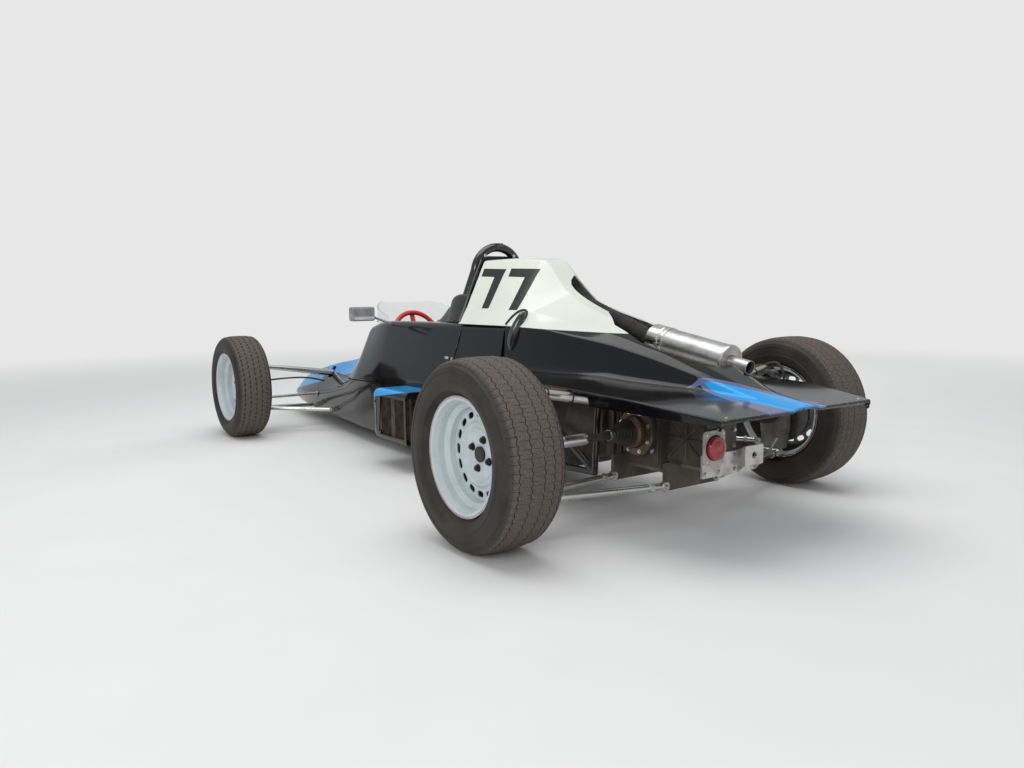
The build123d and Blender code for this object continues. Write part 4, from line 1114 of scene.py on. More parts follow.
def bolts(name, places, direction, radius, height, material, body="chassis"):
    """Hexagon heads on washers at the given places, all facing one way."""
    surface = bmesh.new()
    turn = Vector((0, 0, 1)).rotation_difference(Vector(direction)).to_matrix().to_4x4()
    for place in places:
        for sides, r, low, high in ((16, radius * 1.35, 0, height * 0.25), (6, radius, height * 0.2, height)):
            at = Matrix.Translation(Vector(place)) @ turn @ Matrix.Translation((0, 0, (low + high) / 2))
            bmesh.ops.create_cone(surface, cap_ends=True, segments=sides, radius1=r, radius2=r * 0.95, depth=high - low, matrix=at)
    piece = as_piece(name, surface, sharp=30)
    piece.data.materials.append(material)
    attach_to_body(piece, body)
    return piece


black_enamel = finish("black_tube_enamel", (0.010, 0.010, 0.011), (0.05, 0.045, 0.04), 0.18, 0.4, dust=0.25, scale=22.0, low=0.58, high=0.8, bump=0.06, Coat_Weight=0.5)
satin_black = finish("satin_black_moulding", (0.016, 0.016, 0.017), (0.04, 0.038, 0.035), 0.36, 0.5, dust=0.3, scale=14.0, grain=500.0, bump=0.2)
bright_zinc = finish("bright_zinc", (0.62, 0.62, 0.60), (0.34, 0.31, 0.27), 0.24, 0.45, metal=0.95, dust=0.3, scale=30.0)
silver_tube = finish("silver_plated_tube", (0.62, 0.62, 0.60), (0.47, 0.44, 0.40), 0.20, 0.34, metal=0.97, dust=0.2,
                     scale=16.0, low=0.5, high=0.8)
hoop_bracket = finish("hoop_bracket_steel", (0.05, 0.05, 0.05), (0.18, 0.16, 0.14), 0.35, 0.5, metal=0.6, scale=60.0)
wear(black_enamel, "roll_hoop")
wear(satin_black, "head_fairing", "dash_panel")
slope = []
for y, half, top, inner in ((0.050, 0.150, 0.641, 0.120), (0.110, 0.166, 0.668, 0.136), (0.170, 0.180, 0.697, 0.150),
                            (0.225, 0.192, 0.719, 0.160), (0.240, 0.195, 0.724, 0.163)):
    ring = [(-half, 0.636, 0.002), (half, 0.636, 0.002), (inner, top, 0.010), (-inner, top, 0.010)]
    slope.append([Vector((p.x, y, p.y)) for p in rounded(ring, (6, 4, 8, 4), True)])
head_slope = as_piece("head_slope", grid(slope, closed=True), 0.003, sharp=40)
head_slope.data.materials.append(satin_black)
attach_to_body(head_slope, "chassis")
cast_block("hoop_eye_block", (-0.016, 0.358, 0.962), (0.016, 0.372, 0.979), hoop_bracket, bevel=0.003)
bolts("hoop_bolt_heads", [(-0.075, 0.3655, 0.925), (0.075, 0.3655, 0.925)], (0, 1, 0), 0.006, 0.005, bright_zinc)
for side in (1, -1):
    edge = [(side * 0.100, 0.372, 0.905), (side * 0.155, 0.392, 0.815), (side * 0.214, 0.420, 0.712), (side * 0.262, 0.448, 0.646)]
    tube(f"cover_edge_trim_{'left' if side > 0 else 'right'}", edge, 0.006, black_enamel)
    rivet = [(side * 0.203, 0.43, 0.742)]
    bolts(f"fairing_rivet_{'left' if side > 0 else 'right'}", [(side * 0.196, 0.40, 0.7)], (side, 0, 0.3), 0.004, 0.003, bright_zinc)

# Windscreen: 3 mm clear acrylic wrapped round the scuttle, riveted along its foot, with a
# slightly milky rolled top edge.


def make_screen():
    clear, tree, shader = new_material("clear_acrylic")
    scratches = effect(tree, "patches", Scale=50.0, Low=0.5, High=0.9)
    tree.links.new(calc(tree, "ADD", calc(tree, "MULTIPLY", scratches, 0.10), 0.02), shader.inputs["Roughness"])
    shader.inputs["Base Color"].default_value = (0.93, 0.95, 0.95, 1)
    shader.inputs["Transmission Weight"].default_value = 0.92
    shader.inputs["IOR"].default_value = 1.2
    wear(clear, "windscreen")
    rivets = []
    for i in range(9):
        a = math.radians(-160 + i * 17.5)
        x, y = 0.2225 * math.cos(a), -0.352 + 0.2225 * math.sin(a)
        if -0.6 < y < -0.36:
            rivets.append((x, y))
    surface = bmesh.new()
    for x, y in rivets:
        z = eased(BODY_STATIONS, y)[5] + 0.014
        at = Matrix.Translation((x, y, z))
        bmesh.ops.create_uvsphere(surface, u_segments=12, v_segments=8, radius=0.0045, matrix=at)
    piece = as_piece("screen_rivets", surface)
    piece.data.materials.append(bright_zinc)
    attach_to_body(piece, "chassis")


make_screen()

# Mirrors: grey moulded heads on short stems, bright glass facing back.


def make_mirror_glass():
    glass, tree, shader = new_material("mirror_glass")
    specks = effect(tree, "patches", Scale=120.0, Low=0.6, High=0.75)
    tree.links.new(tint(tree, specks, (0.88, 0.90, 0.90, 1), (0.6, 0.6, 0.58, 1)), shader.inputs["Base Color"])
    tree.links.new(calc(tree, "ADD", calc(tree, "MULTIPLY", specks, 0.3), 0.03), shader.inputs["Roughness"])
    shader.inputs["Metallic"].default_value = 0.45
    for name, side in (("left", 1), ("right", -1)):
        x = side * 0.405
        surface = bmesh.new()
        outline = rounded([(x - 0.051, 0.645, 0.01), (x + 0.051, 0.645, 0.01), (x + 0.051, 0.699, 0.01), (x - 0.051, 0.699, 0.01)], [1] * 4, True)
        face = surface.faces.new([surface.verts.new((p.x, -0.1655 - (p.y - 0.645) * 0.10, p.y)) for p in outline])
        bmesh.ops.recalc_face_normals(surface, faces=[face])
        piece = as_piece(f"mirror_glass_{name}", surface, 0.0, normal_out=False)
        if piece.data.polygons[0].normal.y < 0:
            piece.data.flip_normals()
        piece.data.materials.append(glass)
        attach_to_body(piece, "chassis")


mirror_shell = finish("grey_mirror_moulding", (0.30, 0.31, 0.31), (0.20, 0.20, 0.20), 0.35, 0.5, dust=0.2, scale=20.0)
wear(mirror_shell, "mirrors")
make_mirror_glass()

# Cockpit: bucket seat with a padded cloth pad, five-point belts, a red leather wheel rim on
# dished spokes, and the gear lever.
seat_shell = finish("seat_shell_plastic", (0.020, 0.020, 0.021), (0.05, 0.048, 0.045), 0.4, 0.55, dust=0.35, scale=16.0)
wear(seat_shell, "seat")
wear(satin_black, "gear_lever")


def make_seat_pad():
    """Crowned pad with sewn channels over the seat's reclined back and pan."""
    cloth, tree, shader = new_material("seat_cloth")
    place = node(tree, "TexCoord").outputs["Object"]
    weave = node(tree, "TexWave", {"Vector": place, "Scale": 260.0, "Distortion": 1.0}).outputs[1]
    cross = node(tree, "TexWave", {"Vector": place, "Scale": 260.0, "Distortion": 1.0}, bands_direction="Z").outputs[1]
    threads = calc(tree, "MULTIPLY", weave, cross)
    worn_cloth = effect(tree, "patches", Scale=9.0, Low=0.45, High=0.8)
    tree.links.new(tint(tree, worn_cloth, (0.022, 0.022, 0.024, 1), (0.05, 0.048, 0.046, 1)), shader.inputs["Base Color"])
    shader.inputs["Roughness"].default_value = 0.9
    shader.inputs["Sheen Weight"].default_value = 0.3
    bumped(tree, shader, threads, 0.4, 0.0008)
    path = [(-0.172, 0.114), (-0.07, 0.103), (0.0, 0.121), (0.04, 0.21), (0.092, 0.345), (0.13, 0.45), (0.158, 0.535)]
    rows = []
    steps = 90
    for i in range(steps + 1):
        t = i / steps * (len(path) - 1)
        k = min(int(t), len(path) - 2)
        f = t - k
        p = Vector(path[k]).lerp(Vector(path[k + 1]), f)
        run = (Vector(path[k + 1]) - Vector(path[k])).normalized()
        out = Vector((-run.y, run.x))
        end = min(i, steps - i) / steps
        row = []
        for j in range(41):
            u = -1 + j / 20
            half = 0.172 * (1 - 0.06 * (1 - min(1, end * 8)))
            side_fade = max(0.0, 1 - abs(u) ** 6)
            crown = 0.022 * min(1, end * 14) ** 0.5 * side_fade ** 0.5
            channel = 0.006 * abs(math.sin(math.pi * u * 3)) * side_fade
            seam = 0.004 if i % 18 < 2 else 0
            lift = 0.002 + crown * 0.72 + channel - seam * side_fade
            row.append(Vector((u * half, p.x + out.x * lift, p.y + out.y * lift)))
        rows.append(row)
    pad = as_piece("seat_pad", grid(rows, closed=False), 0.004, sharp=60)
    pad.data.materials.append(cloth)
    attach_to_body(pad, "chassis")


def strap(name, points, width, across, material, thickness=0.003):
    """Flat webbing along points; across is the direction of its width."""
    rows = []
    fine = []
    for a, b in zip(points[:-1], points[1:]):
        for i in range(8):
            fine.append(Vector(a).lerp(Vector(b), i / 8))
    fine.append(Vector(points[-1]))
    for _ in range(6):
        fine = [fine[0]] + [(a + b * 2 + c) / 4 for a, b, c in zip(fine[:-2], fine[1:-1], fine[2:])] + [fine[-1]]
    for p in fine:
        rows.append([p + Vector(across) * width * (j / 6 - 0.5) for j in range(7)])
    piece = as_piece(name, grid(rows, closed=False), thickness, sharp=40)
    piece.data.materials.append(material)
    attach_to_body(piece, "chassis")
    return piece


def make_belts():
    webbing, tree, shader = new_material("belt_webbing")
    place = node(tree, "TexCoord").outputs["Object"]
    ribs = node(tree, "TexWave", {"Vector": place, "Scale": 380.0}, bands_direction="X").outputs[1]
    faded = effect(tree, "patches", Scale=12.0, Low=0.4, High=0.8)
    tree.links.new(tint(tree, faded, (0.22, 0.018, 0.016, 1), (0.30, 0.05, 0.04, 1)), shader.inputs["Base Color"])
    shader.inputs["Roughness"].default_value = 0.75
    bumped(tree, shader, ribs, 0.4, 0.0006)
    for name, side in (("left", 1), ("right", -1)):
        strap(f"shoulder_belt_{name}", [
            (side * 0.085, 0.172, 0.598), (side * 0.082, 0.128, 0.575), (side * 0.070, 0.085, 0.48), (side * 0.045, 0.02, 0.33),
            (side * 0.012, -0.045, 0.178),
        ], 0.05, (1, 0, 0), webbing)
        strap(f"lap_belt_{name}", [
            (side * 0.182, -0.01, 0.19), (side * 0.14, -0.028, 0.20), (side * 0.07, -0.05, 0.185), (side * 0.012, -0.06, 0.175),
        ], 0.05, (0, 0.75, 0.45), webbing)
    turned_piece("belt_buckle", (0, -0.068, 0.168), (0, -0.085, 0.198), soften([(0, 0.001), (0, 0.03), (0.018, 0.03), (0.018, 0.001)], 0.004), bright_zinc)


make_seat_pad()
make_belts()


def make_rim_leather():
    leather, tree, shader = new_material("red_rim_leather")
    place = node(tree, "TexCoord").outputs["Object"]
    worn_red = effect(tree, "patches", Scale=18.0, Low=0.42, High=0.75)
    tree.links.new(tint(tree, worn_red, (0.62, 0.035, 0.012, 1), (0.42, 0.03, 0.015, 1)), shader.inputs["Base Color"])
    shader.inputs["Roughness"].default_value = 0.42
    grain = node(tree, "TexVoronoi", {"Vector": place, "Scale": 420.0}).outputs[0]
    bumped(tree, shader, grain, 0.3, 0.0008)
    wear(leather, "steering_wheel")
    wear(satin_black, "steering_column")
    centre = Vector((0, -0.405, 0.55))
    along = Vector((0, 0.9217, 0.3879))
    boss = [(-0.012, 0.001), (-0.012, 0.036), (0.004, 0.040), (0.009, 0.036), (0.010, 0.001)]
    turned_piece("wheel_boss_cap", centre, centre + along, soften(boss, 0.002), satin_black, body="steering")
    heads = [centre + along * 0.009 + Vector((0.027 * math.cos(a), 0, 0)) + Vector((0, -0.3879, 0.9217)) * 0.027 * math.sin(a) for a in (math.tau * i / 6 for i in range(6))]
    bolts("wheel_boss_screws", heads, along, 0.004, 0.004, bright_zinc, body="steering")


make_rim_leather()

# Side pods: blue-topped ducts with the radiator's fins open to the side.
POD_STATIONS = [
    # y, inner x, outer x, low z, high z
    (-0.040, 0.268, 0.430, 0.140, 0.330),
    (0.060, 0.268, 0.462, 0.132, 0.350),
    (0.330, 0.268, 0.462, 0.128, 0.352),
]


def pod_paint(tree, x, y, z):
    falling = calc(tree, "ADD", calc(tree, "MULTIPLY", y, 0.150), 0.306)
    top = calc(tree, "GREATER_THAN", z, falling)
    return tint(tree, top, black_paint(tree, x, y, z), BLUE)


def make_pods():
    paint = gelcoat("blue_topped_gelcoat", pod_paint)
    core, tree, shader = new_material("radiator_fins")
    place = node(tree, "TexCoord").outputs["Object"]
    bent = effect(tree, "patches", Scale=26.0, Low=0.4, High=0.7)
    tree.links.new(tint(tree, bent, (0.045, 0.028, 0.018, 1), (0.12, 0.085, 0.055, 1)), shader.inputs["Base Color"])
    shader.inputs["Roughness"].default_value = 0.62
    shader.inputs["Metallic"].default_value = 0.35
    bumped(tree, shader, node(tree, "TexNoise", {"Vector": place, "Scale": 300.0}).outputs[0], 0.3, 0.001)
    wear(core, "radiators")
    for name, side in (("left", 1), ("right", -1)):
        rows = []
        for i in range(31):
            y = -0.040 + 0.370 * i / 30
            inner, outer, low, high = eased(POD_STATIONS, y)
            ring = rounded([(inner, low, 0.012), (outer, low, 0.014), (outer, high, 0.026), (inner, high, 0.012)], (8, 8, 8, 8), True)
            rows.append([Vector((p.x * side, y, p.y)) for p in ring])
        surface = grid(rows, closed=True)
        window = [(0.075, 0.150), (0.312, 0.150), (0.312, 0.318), (0.095, 0.318)]
        punch(surface, window, (1, 2), lambda c: abs(c.x) > 0.40)
        inside = [f for f in surface.faces if abs(f.calc_center_median().x) < 0.288]
        bmesh.ops.delete(surface, geom=inside, context="FACES")
        pod = as_piece(f"pod_skin_{name}", surface, 0.005)
        pod.data.materials.append(paint)
        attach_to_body(pod, "chassis")
        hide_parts("sidepods")
        rng = random.Random(7)
        fins = bmesh.new()
        count = 64
        for i in range(count):
            y = 0.082 + 0.226 * i / (count - 1)
            lean = rng.uniform(-0.0012, 0.0012)
            waves = [rng.uniform(-0.0008, 0.0008) for _ in range(6)]
            for x0, x1 in ((0.438, 0.452),):
                quads = []
                for j in range(6):
                    z = 0.150 + 0.168 * j / 5
                    yy = y + lean * j / 5 + waves[j]
                    quads.append([fins.verts.new((side * x0, yy, z)), fins.verts.new((side * x1, yy + 0.0004, z))])
                for a, b in zip(quads[:-1], quads[1:]):
                    fins.faces.new((a[0], a[1], b[1], b[0]))
        fin_piece = as_piece(f"pod_fins_{name}", fins, 0.0007, sharp=30, normal_out=False)
        fin_piece.data.materials.append(core)
        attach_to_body(fin_piece, "chassis")
        back = cast_block(f"pod_core_{name}", (min(side * 0.425, side * 0.437), 0.070, 0.140), (max(side * 0.425, side * 0.437), 0.318, 0.325), core, bevel=0.002)
        frame_line = [(side * 0.4575, 0.072, 0.322), (side * 0.4575, 0.074, 0.147), (side * 0.4575, 0.316, 0.147)]
        tube(f"pod_window_frame_{name}", frame_line, 0.0035, bright_zinc, smooth=False)


make_pods()

# Intake ear on the left of the cover: a dark glossy duct bulging from an arch cut in the
# white, with a rubber edge round the arch.
gloss_duct = finish("glossy_black_duct", (0.016, 0.016, 0.017), (0.045, 0.042, 0.04), 0.16, 0.3, dust=0.25, scale=12.0, Coat_Weight=0.6)
rubber_edge = finish("rubber_edge", (0.012, 0.012, 0.012), (0.03, 0.03, 0.03), 0.6, 0.75, dust=0.2, scale=20.0)


def make_ear():
    rows = []
    for i in range(25):
        t = i / 24
        z = 0.548 + 0.146 * t
        swell = math.sin(math.pi * min(1, 0.06 + 0.94 * t)) ** 0.55
        wide = 0.0165 * swell + 0.003
        deep = 0.044 * swell * (1 - 0.35 * t) + 0.004
        base = 0.252 - 0.02 * t
        ring = []
        for j in range(24):
            a = math.tau * j / 24
            ring.append(Vector((base + deep * max(0.0, math.cos(a)) + 0.012 * min(0.0, math.cos(a)), 0.826 + 0.030 * t + wide * 1.2 * math.sin(a), z)))
        rows.append(ring)
    surface = grid(rows, closed=True)
    surface.faces.new([v for v in surface.verts[:24]])
    surface.verts.ensure_lookup_table()
    surface.faces.new([surface.verts[-24 + k] for k in range(24)])
    ear = as_piece("intake_ear", surface, sharp=50)
    ear.data.materials.append(gloss_duct)
    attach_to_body(ear, "chassis")
    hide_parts("air_scoop")
    skin = BVHTree.FromObject(tail_piece, bpy.context.evaluated_depsgraph_get())
    arch = []
    for i in range(17):
        a = math.pi * i / 16
        y = 0.822 - 0.042 * math.cos(a)
        z = 0.645 + 0.055 * math.sin(a)
        hit = skin.ray_cast(Vector((1, y, z)), Vector((-1, 0, 0)))[0]
        if hit is not None:
            arch.append((hit.x + 0.002, y, z))
    tube("intake_edge", arch, 0.0048, rubber_edge)


make_ear()

# Exhaust: heat-wrapped pipe out of the cover's slot, then a riveted aluminium silencer with a
# bright front cap, a clamp with its bracket, a rolled rear flange and a short tailpipe.
REAR_Y, AXLE_Z = 1.34, 0.291
PIPE_PATH = [(-0.15, 0.70, 0.48), (-0.15, 0.70, 0.64), (-0.092, 0.79, 0.736), (-0.1, 1.213, 0.5937)]


def make_silencer():
    wrap, tree, shader = new_material("heat_wrap")
    place = node(tree, "TexCoord").outputs["Object"]
    weave = node(tree, "TexWave", {"Vector": place, "Scale": 210.0, "Distortion": 2.0, "Detail": 2.0}).outputs[1]
    baked = effect(tree, "patches", Scale=22.0, Low=0.4, High=0.75)
    tree.links.new(tint(tree, baked, (0.018, 0.017, 0.017, 1), (0.055, 0.047, 0.040, 1)), shader.inputs["Base Color"])
    shader.inputs["Roughness"].default_value = 0.85
    bumped(tree, shader, weave, 0.6, 0.001)
    steps = 130
    lengths = [0.0]
    for a, b in zip(PIPE_PATH[:-1], PIPE_PATH[1:]):
        lengths.append(lengths[-1] + (Vector(b) - Vector(a)).length)
    centres = []
    for i in range(steps + 1):
        s = lengths[-1] * i / steps
        k = max(j for j in range(3) if lengths[j] <= s + 1e-9)
        centres.append(Vector(PIPE_PATH[k]).lerp(Vector(PIPE_PATH[k + 1]), (s - lengths[k]) / (lengths[k + 1] - lengths[k])))
    for _ in range(5):
        centres = [centres[0]] + [(a + b * 2 + c) / 4 for a, b, c in zip(centres, centres[1:], centres[2:])] + [centres[-1]]
    rows = []
    for i, centre in enumerate(centres):
        run = (centres[min(i + 1, steps)] - centres[max(i - 1, 0)]).normalized()
        across = run.cross(Vector((1, 0, 0))).normalized()
        over = across.cross(run)
        row = []
        for j in range(28):
            a = math.tau * j / 28
            turn = (lengths[-1] * i / steps / 0.024 + j / 28) % 1
            r = 0.0272 + 0.0026 * turn ** 0.7
            row.append(centre + (across * math.cos(a) + over * math.sin(a)) * r)
        rows.append(row)
    pipe = as_piece("wrapped_pipe", grid(rows, closed=True), sharp=50)
    pipe.data.materials.append(wrap)
    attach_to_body(pipe, "chassis")
    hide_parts("exhaust_pipe")

    brushed, tree, shader = new_material("brushed_aluminium")
    place = node(tree, "TexCoord").outputs["Object"]
    streaks = node(tree, "Mapping", {"Vector": place, "Scale": (260.0, 12.0, 260.0)}).outputs[0]
    lines = node(tree, "TexNoise", {"Vector": streaks, "Scale": 1.0, "Detail": 5.0}).outputs[0]
    sooty = effect(tree, "patches", Scale=16.0, Low=0.45, High=0.75)
    tree.links.new(tint(tree, sooty, (0.56, 0.56, 0.555, 1), (0.36, 0.34, 0.31, 1)), shader.inputs["Base Color"])
    tree.links.new(calc(tree, "ADD", calc(tree, "MULTIPLY", lines, 0.25), 0.22), shader.inputs["Roughness"])
    shader.inputs["Metallic"].default_value = 0.95
    bumped(tree, shader, lines, 0.18, 0.0008)
    front, rear = SILENCER_FRONT, SILENCER_REAR
    long = (rear - front).length
    can = soften([(0.050, 0.020), (0.050, 0.0545), (long - 0.004, 0.0545), (long - 0.004, 0.020)], 0.003)
    body = turned_piece("silencer_can", front, rear, can, brushed, columns=64)
    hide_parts("silencer")
    cap = [(0.0, 0.027), (0.0, 0.052), (0.004, 0.0568), (0.053, 0.0568), (0.057, 0.055), (0.057, 0.050), (0.006, 0.047), (0.004, 0.027)]
    turned_piece("silencer_front_cap", front, rear, soften(cap, 0.0015), polished_cap, columns=64)
    ring = [(0.064, 0.054), (0.064, 0.0566), (0.068, 0.0570), (0.078, 0.0570), (0.082, 0.0566), (0.082, 0.054)]
    turned_piece("silencer_clamp", front, rear, ring, bright_zinc, columns=64)
    flange = [(long - 0.014, 0.054), (long - 0.013, 0.0569), (long - 0.005, 0.0569), (long - 0.001, 0.055), (long, 0.050), (long - 0.002, 0.040), (long, 0.024), (long - 0.02, 0.022)]
    turned_piece("silencer_rear_cap", front, rear, flange, brushed, columns=64)
    tip = soften([(long - 0.02, 0.0208), (long - 0.02, 0.0228), (long + 0.0795, 0.0228), (long + 0.0795, 0.0208)], 0.0008)
    turned_piece("tailpipe", front, rear, tip, brushed, columns=40)
    bore = soften([(long - 0.03, 0.0195), (long - 0.03, 0.0207), (long + 0.066, 0.0207), (long + 0.066, 0.0195)], 0.0004)
    turned_piece("tailpipe_soot", front, rear, bore, soot, columns=40)
    plug = soften([(long - 0.03, 0.0), (long - 0.03, 0.0206), (long - 0.026, 0.0206), (long - 0.026, 0.0)], 0.0004)
    turned_piece("tailpipe_baffle", front, rear, plug, soot, columns=40)
    along = (rear - front).normalized()
    rise = along.cross(Vector((-1, 0, 0))).normalized()
    if rise.z < 0:
        rise = -rise
    clip = front + along * 0.073
    for i, d in enumerate((-0.007, 0.007)):
        p = clip + Vector((0.0545, 0, 0)) + along * 0.0 + Vector((0.004, 0, 0.012 + d))
        cast_block(f"clamp_ear_{i}", (p.x - 0.004, p.y - 0.008, p.z - 0.0012), (p.x + 0.016, p.y + 0.008, p.z + 0.0012), bright_zinc, bevel=0.0008)
    q = clip + Vector((0.067, 0, 0.003))
    bolts("clamp_bolt", [(q.x, q.y, q.z + 0.017)], (0, 0, 1), 0.005, 0.006, bright_zinc)
    tube("clamp_bolt_shank", [(q.x, q.y, q.z - 0.004), (q.x, q.y, q.z + 0.018)], 0.003, bright_zinc, smooth=False)
    hanger = cast_block("silencer_hanger", (-0.108, 1.4, 0.400), (-0.092, 1.412, 0.53), brushed, bevel=0.0015)
    cast_block("silencer_hanger_foot", (-0.108, 1.4, 0.400), (-0.060, 1.412, 0.408), brushed, bevel=0.0015)
    bolts("hanger_bolt", [(-0.076, 1.406, 0.408)], (0, 0, 1), 0.0045, 0.005, bright_zinc)


polished_cap = finish("polished_cap", (0.72, 0.72, 0.71), (0.48, 0.46, 0.43), 0.14, 0.32, metal=0.98, dust=0.15, scale=18.0, grain=160.0, bump=0.08)
soot = finish("exhaust_soot", (0.010, 0.0095, 0.009), (0.035, 0.030, 0.026), 0.85, 0.95, dust=0.1, scale=60.0, bump=0.4)
make_silencer()

# Gearbox and engine: sand-cast magnesium and iron, oily and dusty, with cross ribs, bolted
# covers and a brown sump plate; the tube frame beside the engine is enamelled black.
cast_dark = finish("sand_cast_case", (0.075, 0.068, 0.060), (0.14, 0.12, 0.10), 0.5, 0.7, metal=0.55, dust=0.55, scale=16.0, grain=180.0, bump=0.6, depth=0.0012)
cast_brown = finish("oily_brown_casting", (0.15, 0.10, 0.055), (0.06, 0.045, 0.032), 0.42, 0.65, metal=0.5, dust=0.5, scale=20.0, grain=180.0, bump=0.5, depth=0.001)
sump_paint = finish("dull_sump_alloy", (0.24, 0.21, 0.18), (0.13, 0.115, 0.10), 0.5, 0.7, metal=0.6, dust=0.6, reach=0.5, scale=11.0, bump=0.4)
iron_grey = finish("engine_iron", (0.055, 0.056, 0.058), (0.10, 0.085, 0.07), 0.5, 0.7, metal=0.4, dust=0.5, scale=14.0, bump=0.5, depth=0.001)
wear(cast_dark, "gearbox")
wear(iron_grey, "engine_block")
wear(black_enamel, "bay_frame")


def make_gearbox_details():
    heads = []
    for side in (1, -1):
        name = "left" if side > 0 else "right"
        x = side * 0.0625
        lines = [
            ((x, 1.445, 0.215), (x, 1.600, 0.355)), ((x, 1.445, 0.355), (x, 1.600, 0.215)),
            ((x, 1.525, 0.205), (x, 1.525, 0.366)), ((x, 1.445, 0.285), (x, 1.600, 0.285)),
        ]
        for i, (a, b) in enumerate(lines):
            tube(f"case_rib_{name}_{i}", [a, b], 0.0055, cast_dark, smooth=False)
        x = side * 0.0885
        for i, y in enumerate((1.205, 1.232, 1.262)):
            tube(f"case_side_rib_{name}_{i}", [(x, y, 0.185), (x, y, 0.392)], 0.005, cast_dark, smooth=False)
        tube(f"case_top_seam_{name}", [(x, 1.17, 0.398), (x, 1.435, 0.398)], 0.005, cast_dark, smooth=False)
        ring = [(0.0, 0.052), (0.0, 0.083), (0.010, 0.083), (0.014, 0.078), (0.014, 0.056)]
        start = (side * 0.102, REAR_Y, AXLE_Z)
        turned_piece(f"side_cover_{name}", start, (side * 1.0, REAR_Y, AXLE_Z), soften(ring, 0.002), cast_brown)
        spots = [(side * 0.1165, REAR_Y + 0.070 * math.cos(a), AXLE_Z + 0.070 * math.sin(a)) for a in (math.tau * (i + 0.5) / 8 for i in range(8))]
        bolts(f"side_cover_bolts_{name}", spots, (side, 0, 0), 0.0055, 0.006, bright_zinc)
        cast_block(f"diff_flange_{name}", (min(side * 0.104, side * 0.112), REAR_Y - 0.048, AXLE_Z - 0.048), (max(side * 0.104, side * 0.112), REAR_Y + 0.048, AXLE_Z + 0.048), cast_brown)
    cast_block("sump_panel", (-0.080, 1.19, 0.160), (0.080, 1.435, 0.176), sump_paint, bevel=0.003)
    cast_block("tail_sump_panel", (-0.056, 1.445, 0.188), (0.056, 1.604, 0.201), sump_paint, bevel=0.003)
    spots = [(sx * 0.058, 1.6225, z) for sx in (-1, 1) for z in (0.265, 0.318, 0.364)]
    bolts("end_cover_bolts", spots, (0, 1, 0), 0.0055, 0.006, bright_zinc)
    turned_piece("filler_plug", (0.0885, 1.395, 0.235), (1.0, 1.395, 0.235), soften([(0, 0.0), (0, 0.014), (0.006, 0.014), (0.006, 0.008), (0.010, 0.008), (0.010, 0.0)], 0.001), bright_zinc, columns=24)


make_gearbox_details()

# Driveshafts: a ribbed rubber boot at the gearbox, a dark bar, a bright sleeve at the wheel end.
boot_rubber = finish("boot_rubber", (0.013, 0.013, 0.013), (0.038, 0.034, 0.030), 0.45, 0.65, dust=0.4, scale=30.0, bump=0.3)
shaft_steel = finish("shaft_steel", (0.06, 0.055, 0.05), (0.12, 0.085, 0.055), 0.4, 0.6, metal=0.7, dust=0.3, scale=30.0)


def make_driveshafts():
    for side, name in ((1, "left"), (-1, "right")):
        body, origin, aim = f"rear_{name}", (0, REAR_Y, AXLE_Z), (side, REAR_Y, AXLE_Z)
        flange = soften([(0.112, 0.010), (0.112, 0.050), (0.120, 0.052), (0.134, 0.052), (0.140, 0.046), (0.148, 0.046), (0.148, 0.010)], 0.0015)
        first = turned_piece(f"drive_flange_{name}", origin, aim, flange, cast_brown, body, columns=56)
        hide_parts(f"driveshaft_{name}")
        bellows = [(0.147, 0.010), (0.147, 0.0465)]
        for i in range(7):
            x, crest = 0.151 + 0.0112 * i, 0.0455 - 0.0036 * i
            bellows += [(x, crest - 0.0085), (x + 0.0035, crest - 0.002), (x + 0.0056, crest), (x + 0.0077, crest - 0.002)]
        bellows += [(0.2295, 0.0185), (0.241, 0.0175), (0.241, 0.010)]
        turned_piece(f"inner_boot_{name}", origin, aim, bellows, boot_rubber, body, columns=56, sharp=60)
        clip = soften([(0.2325, 0.0165), (0.2325, 0.0188), (0.2375, 0.0188), (0.2375, 0.0165)], 0.0004)
        turned_piece(f"boot_clip_{name}", origin, aim, clip, bright_zinc, body, columns=40)
        turned_piece(f"drive_bar_{name}", origin, aim, soften([(0.235, 0.0), (0.235, 0.0125), (0.53, 0.0125), (0.53, 0.0)], 0.001), shaft_steel, body, columns=32)
        sleeve = soften([(0.335, 0.012), (0.335, 0.0185), (0.345, 0.020), (0.430, 0.020), (0.440, 0.0175), (0.520, 0.0175), (0.520, 0.012)], 0.0015)
        turned_piece(f"drive_sleeve_{name}", origin, aim, sleeve, silver_tube, body, columns=40)
        outer = [(0.520, 0.010), (0.520, 0.017)]
        for i in range(4):
            x, crest = 0.530 + 0.0112 * i, 0.026 + 0.005 * i
            outer += [(x - 0.004, crest - 0.0075), (x, crest), (x + 0.004, crest - 0.002)]
        outer += [(0.576, 0.042), (0.604, 0.042), (0.606, 0.040), (0.606, 0.010)]
        turned_piece(f"outer_boot_{name}", origin, aim, outer, boot_rubber, body, columns=56, sharp=60)


make_driveshafts()

